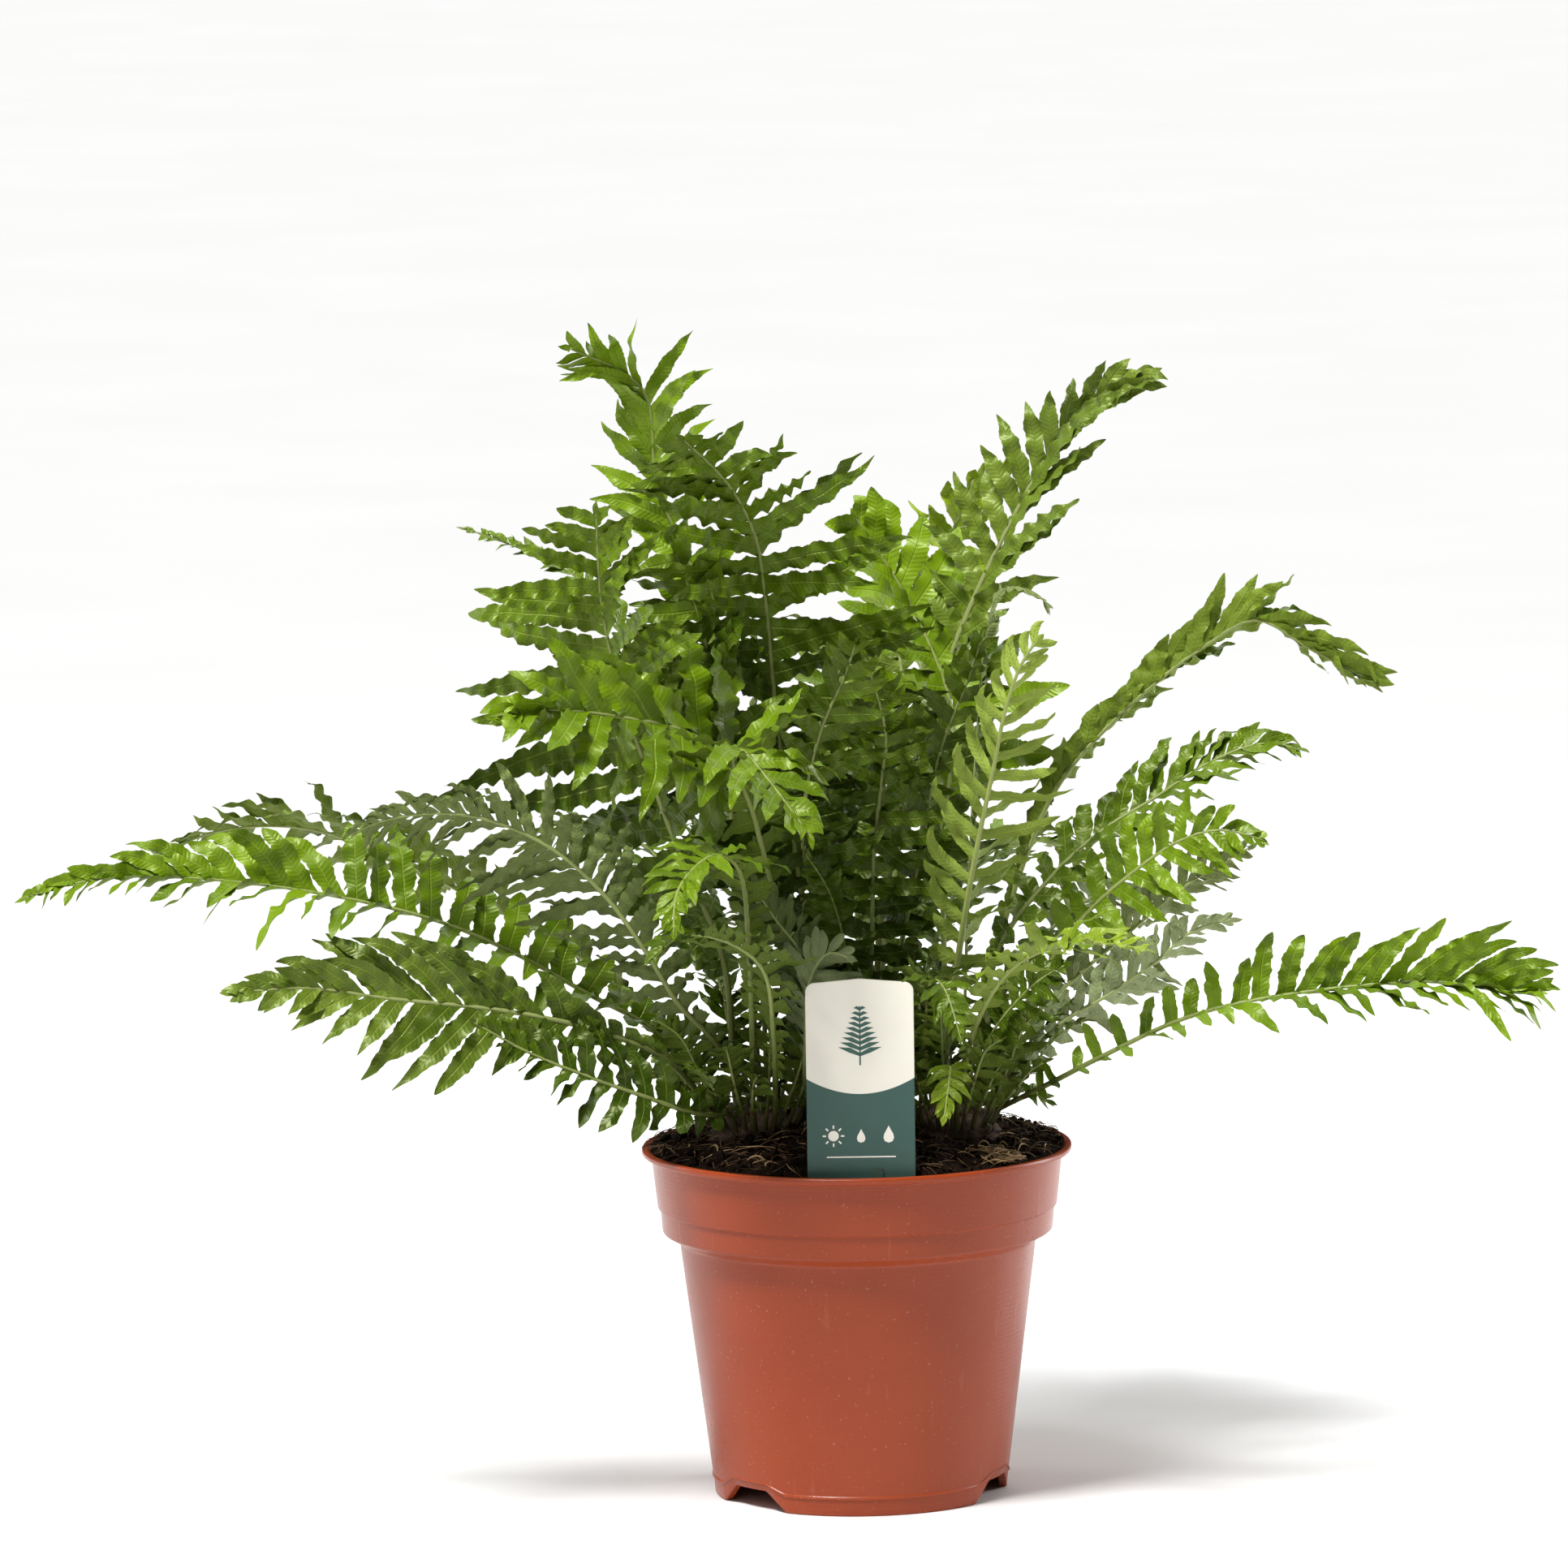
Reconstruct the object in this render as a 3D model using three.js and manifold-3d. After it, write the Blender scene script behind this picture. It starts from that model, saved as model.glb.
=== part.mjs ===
// A silver lady fern in a round nursery pot: pot, soil, plant tag, three crowns and the fronds that stand
// in them. Millimetres, +Z up. The origin is the centre of the pot's underside, on the surface it stands
// on. +X is to the right of the tag and -Y is the side that the tag faces.
import * as THREE from "three";
import { mergeVertices } from "three/addons/utils/BufferGeometryUtils.js";
import Module from "manifold-3d";

const wasm = await Module();
wasm.setup();

// Pot
const RIM_RADIUS = 95;
const POT_HEIGHT = 155;
const FOOT_RADIUS = 64.5;
const WALL = 1.6;
const LIP_DEPTH = 3;
const COLLAR_TOP_RADIUS = 91.3;
const COLLAR_FOOT_RADIUS = 86;
const COLLAR_FOOT_HEIGHT = 116;
const COLLAR_STEP_HEIGHT = 126;
const BAND = 0.6;
const BODY_TOP_RADIUS = 79;
const BODY_TOP_HEIGHT = 112;
const FLOOR_HEIGHT = 8;
const FOOT_WIDTH = 3.4;
const PAD_RADIUS = 14;
const NOTCH_ANGLES = [-50, 70, 190];
const NOTCH_WIDTH = 43;
const NOTCH_SLOPE = 11;
const NOTCH_HEIGHT = 9;
const DRAIN_HOLES = 6;
const DRAIN_RADIUS = 4.5;
const DRAIN_RING = 42;
const POT_SIDES = 36;

// Soil
const GAP = 0.4;
const SOIL_EDGE_HEIGHT = 151;
const SOIL_TOP_HEIGHT = 164;
const SOIL_BUMP = 1.6;
const SOIL_RINGS = [78, 56, 28];

// Crowns
const CROWN_RADIUS = 22;
const CROWN_DEPTH = 18;
const CROWN_RISE = 13;
const CROWN_LEVEL = 161;
const CROWN_SIDES = 12;
const CROWNS = { left: [-44, -6], middle: [0, 20], right: [42, -12] };
const RINGS = {
  inner: { radius: 8.5, slant: 10 },
  outer: { radius: 17.5, slant: 30 },
};

// Tag
const TAG_WIDTH = 47;
const TAG_TOP = 241;
const TAG_SHOULDER = 148;
const TAG_POINT = 121;
const TAG_STAKE_WIDTH = 30;
const TAG_CORNER = 4;
const TAG_CAMBER = 2;
const TAG_SLOPE = 6;
const TAG_THICKNESS = 0.8;
const TAG_CENTRE = [1.5, -82.5];

// Fronds
const BLADE_THICKNESS = 0.8;
const STALK_ROOT = 6;
const STALK_COLLAR = 8;
const STALK_STATIONS = 3;
const STALK_SHAPE = [[-0.6, 0.8], [0.6, 0.8], [0.95, -0.3], [0, -1], [-0.95, -0.3]];
const BLADE_CLEARANCE = 1.4;
const STALK_CLEARANCE = 3;
const NEIGHBOUR_CLEARANCE = 1.1;
const RIB_FLAT = 0.7;
const THICK_STALK = 2;
const THIN_STALK = 1.4;
const BLADE_END = 0.97;
const USUAL_LEAN = [78, 44];
const USUAL_LIFT = 8;
const USUAL_FULL = 0.4;
const LEAFLET_BELLY = 0.05;
const TIP_AHEAD = 0.3;
const BULGE_AT = 0.55;
const BULGE_CUP = 0.04;
const TIP_DROOP = 0.14;
const LENGTH_SPREAD = 0.08;
const UP = new THREE.Vector3(0, 0, 1);

const COLOURS = {
  pot: 0xa9502f,
  soil: 0x35241a,
  tag: 0xe8e4d6,
  crown: 0x3a2a1c,
  dark: 0x31541a,
  green: 0x4c7a22,
  bright: 0x6ba02c,
  pale: 0x8fb548,
  grey: 0x6f8350,
};

// A repeatable draw between -1 and 1 for the whole number n.
function draw(n) {
  const wave = Math.sin(n * 12.9898 + 4.1414) * 43758.5453;
  return 2 * (wave - Math.floor(wave)) - 1;
}

function material(colour, roughness) {
  return new THREE.MeshStandardMaterial({ color: colour, roughness, metalness: 0 });
}

function solidOf(geometry) {
  const bare = new THREE.BufferGeometry();
  bare.setAttribute("position", geometry.getAttribute("position"));
  bare.setIndex(geometry.getIndex());
  const merged = mergeVertices(bare, 1e-4);
  const mesh = new wasm.Mesh({
    numProp: 3,
    vertProperties: new Float32Array(merged.getAttribute("position").array),
    triVerts: new Uint32Array(merged.getIndex().array),
  });
  return new wasm.Manifold(mesh);
}

function geometryOf(solid) {
  const mesh = solid.getMesh();
  const geometry = new THREE.BufferGeometry();
  geometry.setAttribute("position", new THREE.BufferAttribute(mesh.vertProperties, 3));
  geometry.setIndex(new THREE.BufferAttribute(mesh.triVerts, 1));
  geometry.computeVertexNormals();
  return geometry;
}

// A body turned about the upright axis. The profile's points are [radius, height], going round its right
// side from the bottom of the axis to the top.
function turned(profile, sides) {
  const points = profile.map(([radius, height]) => new THREE.Vector2(radius, height));
  return new THREE.LatheGeometry(points, sides).rotateX(Math.PI / 2);
}

// Pot: a thin wall with a lip, a collar and feet, closed below by a raised floor with a central pad.
function bodyRadius(height) {
  return FOOT_RADIUS + ((BODY_TOP_RADIUS - FOOT_RADIUS) * height) / BODY_TOP_HEIGHT;
}

function collarRadius(height) {
  const share = (height - COLLAR_FOOT_HEIGHT) / (POT_HEIGHT - COLLAR_FOOT_HEIGHT);
  return COLLAR_FOOT_RADIUS + (COLLAR_TOP_RADIUS - COLLAR_FOOT_RADIUS) * share;
}

function potGeometry() {
  const outside = [
    [0, 0],
    [PAD_RADIUS, 0],
    [PAD_RADIUS, FLOOR_HEIGHT],
    [FOOT_RADIUS - FOOT_WIDTH, FLOOR_HEIGHT],
    [FOOT_RADIUS - FOOT_WIDTH, 0],
    [FOOT_RADIUS, 0],
    [bodyRadius(FLOOR_HEIGHT), FLOOR_HEIGHT],
    [BODY_TOP_RADIUS, BODY_TOP_HEIGHT],
    [COLLAR_FOOT_RADIUS - 4 * BAND, COLLAR_FOOT_HEIGHT - 3 * BAND],
    [COLLAR_FOOT_RADIUS + BAND, COLLAR_FOOT_HEIGHT + 3 * BAND],
    [collarRadius(COLLAR_STEP_HEIGHT) + BAND, COLLAR_STEP_HEIGHT - 2 * BAND],
    [collarRadius(COLLAR_STEP_HEIGHT), COLLAR_STEP_HEIGHT],
    [COLLAR_TOP_RADIUS, POT_HEIGHT - LIP_DEPTH],
    [RIM_RADIUS, POT_HEIGHT - LIP_DEPTH + BAND],
    [RIM_RADIUS, POT_HEIGHT],
  ];
  const inside = [
    [COLLAR_TOP_RADIUS - WALL, POT_HEIGHT],
    [COLLAR_FOOT_RADIUS - WALL, COLLAR_FOOT_HEIGHT],
    [BODY_TOP_RADIUS - WALL, BODY_TOP_HEIGHT],
    [bodyRadius(FLOOR_HEIGHT) - WALL, FLOOR_HEIGHT + WALL],
    [0, FLOOR_HEIGHT + WALL],
  ];
  let pot = solidOf(turned([...outside, ...inside], POT_SIDES));
  for (const angle of NOTCH_ANGLES) {
    const outline = new THREE.Shape();
    outline.moveTo(-NOTCH_WIDTH / 2, -1);
    outline.lineTo(NOTCH_WIDTH / 2, -1);
    outline.lineTo(NOTCH_WIDTH / 2 - NOTCH_SLOPE, NOTCH_HEIGHT);
    outline.lineTo(-NOTCH_WIDTH / 2 + NOTCH_SLOPE, NOTCH_HEIGHT);
    outline.closePath();
    const depth = 6 * FOOT_WIDTH;
    const notch = new THREE.ExtrudeGeometry(outline, { depth, bevelEnabled: false });
    notch.rotateX(Math.PI / 2).translate(0, depth / 2 - FOOT_RADIUS, 0);
    notch.rotateZ(THREE.MathUtils.degToRad(angle));
    pot = pot.subtract(solidOf(notch));
  }
  for (let i = 0; i < DRAIN_HOLES; i++) {
    const angle = (2 * Math.PI * (i + 0.5)) / DRAIN_HOLES;
    const hole = new THREE.CylinderGeometry(DRAIN_RADIUS, DRAIN_RADIUS, 4 * WALL, 8);
    hole.rotateX(Math.PI / 2);
    hole.translate(DRAIN_RING, 0, FLOOR_HEIGHT + WALL / 2).rotateZ(angle);
    pot = pot.subtract(solidOf(hole));
  }
  return geometryOf(pot);
}

// Soil: fills the pot with a small gap to its wall and mounds up to the crowns.
function soilHeight(radius) {
  const share = Math.min(1, radius / (COLLAR_TOP_RADIUS - WALL));
  return SOIL_TOP_HEIGHT - (SOIL_TOP_HEIGHT - SOIL_EDGE_HEIGHT) * share ** 2.2;
}

function soilGeometry(crownHoles, tagHole) {
  const inset = WALL + GAP;
  const profile = [
    [0, FLOOR_HEIGHT + inset],
    [bodyRadius(FLOOR_HEIGHT) - inset, FLOOR_HEIGHT + inset],
    [BODY_TOP_RADIUS - inset, BODY_TOP_HEIGHT],
    [COLLAR_FOOT_RADIUS - inset, COLLAR_FOOT_HEIGHT],
    [collarRadius(SOIL_EDGE_HEIGHT) - inset, SOIL_EDGE_HEIGHT],
    ...SOIL_RINGS.map((radius) => [radius, soilHeight(radius)]),
    [0, SOIL_TOP_HEIGHT],
  ];
  const bare = turned(profile, POT_SIDES).deleteAttribute("normal").deleteAttribute("uv");
  const soil = mergeVertices(bare, 1e-3);
  const position = soil.getAttribute("position");
  for (let i = 0; i < position.count; i++) {
    if (position.getZ(i) > SOIL_EDGE_HEIGHT + 1)
      position.setZ(i, position.getZ(i) + SOIL_BUMP * draw(i));
  }
  let solid = solidOf(soil);
  for (const hole of [...crownHoles, tagHole]) solid = solid.subtract(solidOf(hole));
  return geometryOf(solid);
}

// Crowns: blunt stumps whose lower part is sunk in the soil. Each frond's stalk stands in its own hole.
function crownHeight(radius) {
  return CROWN_LEVEL + CROWN_RISE * (1 - (radius / CROWN_RADIUS) ** 2);
}

function crownProfile(grow, lid) {
  const rise = lid
    ? [
        [CROWN_RADIUS + grow, CROWN_LEVEL],
        [CROWN_RADIUS + grow, CROWN_LEVEL + CROWN_RISE],
        [0, CROWN_LEVEL + CROWN_RISE],
      ]
    : [CROWN_RADIUS, 0.6 * CROWN_RADIUS, 0].map((radius) => [radius, crownHeight(radius)]);
  return [
    [0, CROWN_LEVEL - CROWN_DEPTH - grow],
    [0.8 * CROWN_RADIUS + grow, CROWN_LEVEL - CROWN_DEPTH - grow],
    ...rise,
  ];
}

function crownGeometry(crown, stalkHoles) {
  const [x, y] = CROWNS[crown];
  let solid = solidOf(turned(crownProfile(0, false), CROWN_SIDES).translate(x, y, 0));
  for (const hole of stalkHoles) solid = solid.subtract(solidOf(hole));
  return geometryOf(solid);
}

function crownHole(crown) {
  const [x, y] = CROWNS[crown];
  return turned(crownProfile(GAP, true), CROWN_SIDES).translate(x, y, 0);
}

// Tag: a flat label with rounded top corners and a pointed stake in the soil.
function tagGeometry(grow) {
  const half = TAG_WIDTH / 2 + grow;
  const stake = TAG_STAKE_WIDTH / 2 + grow;
  const corner = TAG_TOP - TAG_CAMBER - TAG_CORNER;
  const outline = new THREE.Shape();
  outline.moveTo(0, TAG_POINT - 2 * grow);
  outline.lineTo(stake, TAG_POINT + stake);
  outline.lineTo(stake, TAG_SHOULDER - TAG_SLOPE - grow);
  outline.lineTo(half, TAG_SHOULDER - grow);
  outline.absarc(half - TAG_CORNER, corner, TAG_CORNER, 0, Math.PI / 2, false);
  outline.lineTo(0, TAG_TOP);
  outline.absarc(TAG_CORNER - half, corner, TAG_CORNER, Math.PI / 2, Math.PI, false);
  outline.lineTo(-half, TAG_SHOULDER - grow);
  outline.lineTo(-stake, TAG_SHOULDER - TAG_SLOPE - grow);
  outline.lineTo(-stake, TAG_POINT + stake);
  outline.closePath();
  const depth = TAG_THICKNESS + 2 * grow;
  const tag = new THREE.ExtrudeGeometry(outline, { depth, bevelEnabled: false, curveSegments: 3 });
  return tag.rotateX(Math.PI / 2).translate(TAG_CENTRE[0], TAG_CENTRE[1] + depth / 2, 0);
}

// Fronds. Each row holds the crown, its ring and the compass angle where the stalk stands, the length of
// the longest leaflets, the pairs of leaflets, and the points that the rib passes after the crown. side
// points to the leaflets on the right of the rib, as seen from above with the tip ahead, and so sets how
// the blade faces. bare is the share of the stalk without leaflets, full the share of the blade where they
// reach full length, lean the leaflets' angles to the rib at the foot and the tip, and lift the angle by
// which they stand above the blade's plane.
const FRONDS = [
  {
    name: "frond_left_broad",
    colour: "green",
    stand: ["left", "inner", 200],
    leaflet: 74,
    pairs: 14,
    side: [0.9, -0.4, 0.1],
    bare: 0.3,
    path: [
      [-58, -18, 242], [-74, -26, 284], [-87, -32, 320],
      [-99, -38, 357], [-108, -44, 400], [-110, -56, 452],
    ],
  },
  {
    name: "frond_top_dark",
    colour: "dark",
    stand: ["middle", "inner", 240],
    leaflet: 74,
    pairs: 14,
    side: [1, 0.1, 0.05],
    bare: 0.26,
    path: [
      [-20, 2, 250], [-32, -6, 338], [-37, -15, 400],
      [-41, -24, 428], [-52, -36, 452], [-78, -52, 480],
    ],
  },
  {
    name: "frond_left_tall",
    colour: "green",
    stand: ["left", "inner", 80],
    leaflet: 52,
    pairs: 13,
    side: [0.55, -0.75, 0.35],
    bare: 0.45,
    path: [[-52, 18, 290], [-58, 28, 338], [-65, 32, 396], [-84, 34, 445], [-90, 32, 488], [-132, 22, 512]],
  },
  {
    name: "frond_right_tall",
    colour: "green",
    stand: ["middle", "inner", 10],
    leaflet: 45,
    pairs: 13,
    side: [0.7, -0.68, -0.2],
    bare: 0.42,
    path: [
      [12, 26, 248], [24, 30, 300], [45, 35, 368], [71, 38, 424],
      [99, 38, 470], [121, 35, 487], [145, 30, 496],
    ],
  },
  {
    name: "frond_front_upright",
    colour: "pale",
    stand: ["right", "inner", 240],
    leaflet: 36,
    pairs: 13,
    side: [-1, -0.1, 0.15],
    bare: 0.2,
    lean: [70, 40],
    path: [[45, -45, 243], [52, -62, 287], [60, -72, 326], [68, -80, 363], [76, -84, 384], [90, -85, 398]],
  },
  {
    name: "frond_left_far",
    colour: "bright",
    stand: ["left", "outer", 178],
    leaflet: 44,
    pairs: 16,
    side: [0.1, 0.78, 0.62],
    bare: 0.12,
    lift: 18,
    path: [
      [-87, -18, 208], [-117, -24, 227], [-152, -30, 248], [-188, -36, 264],
      [-259, -48, 283], [-327, -58, 290], [-371, -64, 278],
    ],
  },
  {
    name: "frond_right_far",
    colour: "bright",
    stand: ["right", "outer", 345],
    leaflet: 40,
    pairs: 14,
    side: [-0.1, -0.66, -0.75],
    bare: 0.12,
    full: 0.6,
    lift: 30,
    path: [
      [84, -30, 185], [107, -38, 198], [143, -48, 216], [179, -56, 227],
      [251, -68, 238], [286, -73, 235], [309, -76, 237],
    ],
  },
  {
    name: "frond_left_fan",
    colour: "grey",
    stand: ["left", "outer", 208],
    leaflet: 46,
    pairs: 11,
    side: [0.05, 0.35, 0.93],
    bare: 0.33,
    full: 0.3,
    lean: [62, 44],
    path: [
      [-84, -38, 200], [-112, -48, 214], [-150, -60, 225],
      [-204, -74, 234], [-238, -82, 240], [-279, -90, 239],
    ],
  },
  {
    name: "frond_left_grey",
    colour: "grey",
    stand: ["left", "inner", 250],
    leaflet: 50,
    pairs: 14,
    side: [-0.7, 0.4, -0.6],
    bare: 0.16,
    lean: [66, 46],
    path: [
      [-62, -33, 207], [-77, -40, 224], [-92, -46, 250], [-110, -52, 276],
      [-134, -57, 298], [-168, -61, 312], [-202, -63, 311], [-226, -64, 301],
    ],
  },
  {
    name: "frond_left_low_dark",
    colour: "dark",
    stand: ["left", "outer", 240],
    leaflet: 34,
    pairs: 12,
    side: [0.2, 0.55, 0.8],
    bare: 0.1,
    path: [[-72, -50, 178], [-92, -62, 187], [-117, -72, 198], [-142, -80, 210], [-170, -86, 227]],
  },
  {
    name: "frond_front_left_bright",
    colour: "bright",
    stand: ["left", "inner", 300],
    leaflet: 46,
    pairs: 11,
    side: [0.1, 0.7, 0.7],
    bare: 0.5,
    full: 0.3,
    lean: [65, 35],
    path: [
      [-41, -28, 250], [-46, -42, 316], [-66, -62, 344],
      [-102, -90, 358], [-136, -112, 364], [-162, -128, 362],
    ],
  },
  {
    name: "frond_front_drooping",
    colour: "bright",
    stand: ["middle", "inner", 190],
    leaflet: 42,
    pairs: 10,
    side: [-0.8, -0.55, 0],
    bare: 0.5,
    full: 0.3,
    path: [
      [-28, -24, 240], [-44, -60, 312], [-52, -80, 336],
      [-48, -100, 344], [-34, -120, 330], [-14, -138, 304],
    ],
  },
  {
    name: "frond_right_arching",
    colour: "green",
    stand: ["right", "inner", 45],
    leaflet: 44,
    pairs: 14,
    side: [-0.15, -0.95, 0.25],
    bare: 0.4,
    lift: 35,
    path: [
      [64, 26, 240], [90, 42, 305], [119, 52, 337], [158, 60, 367],
      [181, 63, 378], [206, 65, 367], [244, 68, 352],
    ],
  },
  {
    name: "frond_right_upper",
    colour: "green",
    stand: ["right", "inner", 355],
    leaflet: 38,
    pairs: 13,
    side: [0.3, -0.8, -0.5],
    bare: 0.3,
    path: [
      [64, 0, 241], [86, 8, 271], [110, 14, 293], [134, 18, 307],
      [158, 20, 323], [181, 22, 331], [202, 18, 328],
    ],
  },
  {
    name: "frond_right_bright",
    colour: "bright",
    stand: ["right", "outer", 322],
    leaflet: 32,
    pairs: 11,
    side: [0.4, -0.5, -0.75],
    bare: 0.35,
    path: [
      [77, -34, 225], [100, -45, 261], [121, -52, 281],
      [142, -58, 296], [160, -62, 301], [184, -66, 295],
    ],
  },
  {
    name: "frond_right_grey_upper",
    colour: "grey",
    stand: ["right", "outer", 55],
    leaflet: 32,
    pairs: 11,
    side: [-0.3, -0.65, 0.7],
    bare: 0.25,
    path: [[70, 32, 196], [101, 52, 222], [126, 62, 241], [147, 69, 257], [170, 75, 270], [185, 79, 277]],
  },
  {
    name: "frond_right_grey_lower",
    colour: "grey",
    stand: ["right", "outer", 29],
    leaflet: 28,
    pairs: 12,
    side: [-0.4, -0.6, 0.7],
    bare: 0.12,
    full: 0.6,
    path: [[72, 0, 188], [91, 3, 207], [112, 6, 219], [133, 8, 233], [151, 10, 247], [174, 12, 252]],
  },
  {
    name: "frond_centre_dark",
    colour: "dark",
    stand: ["middle", "inner", 300],
    leaflet: 42,
    pairs: 12,
    side: [1, 0.1, 0.1],
    bare: 0.14,
    path: [[6, -2, 215], [8, -14, 252], [9, -22, 286], [13, -29, 322], [15, -33, 341], [4, -42, 384]],
  },
  {
    name: "frond_right_of_centre",
    colour: "green",
    stand: ["right", "inner", 155],
    leaflet: 50,
    pairs: 11,
    side: [0.85, 0.45, 0.1],
    bare: 0.45,
    path: [[26, 0, 241], [34, 5, 272], [45, 24, 340], [31, 40, 382], [14, 46, 412], [-2, 44, 436]],
  },
  {
    name: "frond_right_pale",
    colour: "pale",
    stand: ["right", "inner", 100],
    leaflet: 36,
    pairs: 10,
    side: [0.8, 0.6, -0.1],
    bare: 0.45,
    path: [[40, 40, 260], [40, 66, 350], [42, 78, 404], [58, 82, 437], [80, 80, 456]],
  },
  {
    name: "frond_left_back",
    colour: "green",
    stand: ["left", "outer", 138],
    leaflet: 40,
    pairs: 12,
    side: [0.1, 0.8, -0.5],
    bare: 0.25,
    path: [
      [-88, 38, 205], [-127, 56, 236], [-165, 68, 255], [-218, 82, 280],
      [-252, 88, 288], [-290, 94, 284], [-315, 98, 270],
    ],
  },
  {
    name: "frond_left_slender",
    colour: "green",
    stand: ["left", "inner", 140],
    leaflet: 22,
    pairs: 10,
    side: [0.2, 0.9, 0.3],
    bare: 0.4,
    path: [
      [-62, 34, 260], [-88, 48, 350], [-113, 54, 396],
      [-143, 58, 414], [-161, 58, 421], [-179, 58, 428],
    ],
  },
  {
    name: "frond_young_furled",
    colour: "pale",
    stand: ["left", "inner", 350],
    leaflet: 12,
    pairs: 5,
    side: [0.35, -0.9, 0.1],
    bare: 0.55,
    lean: [50, 35],
    path: [[-43, 0, 260], [-44, -5, 338], [-40, -8, 366], [-42, -8, 384], [-50, -9, 396], [-62, -10, 398]],
  },
  {
    name: "frond_young_hooked",
    colour: "grey",
    stand: ["right", "inner", 300],
    leaflet: 12,
    pairs: 7,
    side: [0.1, 1, 0],
    bare: 0.6,
    path: [[50, -22, 260], [55, -26, 340], [59, -26, 380], [66, -24, 403], [80, -24, 402], [92, -24, 389]],
  },
  {
    name: "frond_centre_slender",
    colour: "green",
    stand: ["middle", "inner", 130],
    leaflet: 28,
    pairs: 8,
    side: [0.2, 1, 0],
    bare: 0.5,
    path: [[-13, 34, 250], [-19, 43, 326], [-11, 46, 351], [2, 48, 367], [20, 46, 390]],
  },
  {
    name: "frond_centre_small_grey",
    colour: "grey",
    stand: ["left", "outer", 318],
    leaflet: 22,
    pairs: 8,
    side: [-0.8, -0.3, -0.4],
    bare: 0.35,
    path: [[-24, -42, 215], [-24, -55, 248], [-34, -64, 264], [-46, -70, 282], [-56, -76, 290]],
  },
  {
    name: "frond_centre_olive",
    colour: "dark",
    stand: ["middle", "outer", 272],
    leaflet: 22,
    pairs: 8,
    side: [0.9, -0.3, 0.3],
    bare: 0.35,
    path: [[-1, -14, 220], [-5, -30, 252], [-11, -42, 274], [-22, -56, 294]],
  },
  {
    name: "frond_front_left_low",
    colour: "green",
    stand: ["left", "outer", 293],
    leaflet: 32,
    pairs: 10,
    side: [-0.7, 0.7, 0],
    bare: 0.3,
    path: [[-36, -62, 215], [-40, -88, 246], [-55, -112, 262], [-75, -134, 268], [-92, -152, 258]],
  },
  {
    name: "frond_front_nodding",
    colour: "bright",
    stand: ["left", "outer", 266],
    leaflet: 30,
    pairs: 9,
    side: [-0.9, 0.3, 0.1],
    bare: 0.45,
    path: [[-46, -66, 250], [-50, -100, 292], [-62, -130, 302], [-76, -152, 290], [-78, -166, 268]],
  },
  {
    name: "frond_front_right_light",
    colour: "pale",
    stand: ["right", "outer", 275],
    leaflet: 32,
    pairs: 10,
    side: [-0.75, -0.65, 0],
    bare: 0.3,
    path: [[52, -58, 215], [67, -84, 244], [86, -106, 257], [106, -124, 261], [132, -142, 259]],
  },
  {
    name: "frond_front_right_nodding",
    colour: "green",
    stand: ["right", "outer", 228],
    leaflet: 22,
    pairs: 8,
    side: [-1, 0, 0],
    bare: 0.3,
    path: [[30, -46, 210], [33, -70, 238], [39, -92, 236], [46, -106, 214]],
  },
  {
    name: "frond_small_pale",
    colour: "pale",
    stand: ["left", "outer", 348],
    leaflet: 15,
    pairs: 6,
    side: [-0.4, -0.8, 0.3],
    bare: 0.45,
    path: [[-22, -44, 205], [-20, -62, 236], [-11, -72, 251], [2, -78, 247]],
  },
  {
    name: "frond_small_hanging",
    colour: "pale",
    stand: ["right", "outer", 251],
    leaflet: 13,
    pairs: 6,
    side: [-1, 0, 0],
    bare: 0.3,
    path: [[39, -46, 185], [41, -58, 198], [40, -70, 192], [37, -78, 174]],
  },
  {
    name: "frond_small_dark_right",
    colour: "dark",
    stand: ["right", "outer", 298],
    leaflet: 22,
    pairs: 8,
    side: [0.5, -0.6, -0.6],
    bare: 0.3,
    path: [[57, -44, 205], [67, -54, 222], [80, -62, 236], [96, -68, 246]],
  },
  {
    name: "frond_small_on_soil",
    colour: "green",
    stand: ["right", "outer", 7],
    leaflet: 10,
    pairs: 5,
    side: [0, -0.9, -0.3],
    bare: 0.2,
    path: [[70, -12, 180], [79, -13, 178], [88, -14, 172]],
  },
  {
    name: "frond_back_tall",
    colour: "green",
    stand: ["middle", "inner", 70],
    leaflet: 44,
    pairs: 10,
    side: [-1, 0.1, 0],
    bare: 0.4,
    path: [[18, 50, 260], [24, 76, 330], [20, 102, 375], [8, 130, 392]],
  },
  {
    name: "frond_back_left",
    colour: "dark",
    stand: ["middle", "outer", 145],
    leaflet: 42,
    pairs: 11,
    side: [0.8, 0.55, 0],
    bare: 0.3,
    path: [[-25, 60, 230], [-48, 100, 290], [-76, 140, 318], [-104, 175, 316], [-126, 202, 300]],
  },
  {
    name: "frond_back_centre",
    colour: "green",
    stand: ["middle", "outer", 82],
    leaflet: 44,
    pairs: 12,
    side: [1, 0, 0],
    bare: 0.3,
    path: [[2, 74, 250], [-2, 112, 325], [-6, 152, 360], [-8, 192, 356], [-10, 224, 334]],
  },
  {
    name: "frond_back_right",
    colour: "bright",
    stand: ["middle", "outer", 48],
    leaflet: 38,
    pairs: 10,
    side: [0.8, -0.55, 0],
    bare: 0.3,
    path: [[30, 58, 215], [48, 96, 255], [72, 136, 270], [96, 170, 262], [110, 192, 245]],
  },
  {
    name: "frond_back_low",
    colour: "dark",
    stand: ["middle", "outer", 112],
    leaflet: 30,
    pairs: 9,
    side: [0.95, 0.3, 0],
    bare: 0.25,
    path: [[-16, 62, 200], [-28, 98, 230], [-42, 134, 236], [-54, 164, 220]],
  },
  {
    name: "frond_back_left_low",
    colour: "green",
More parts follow.
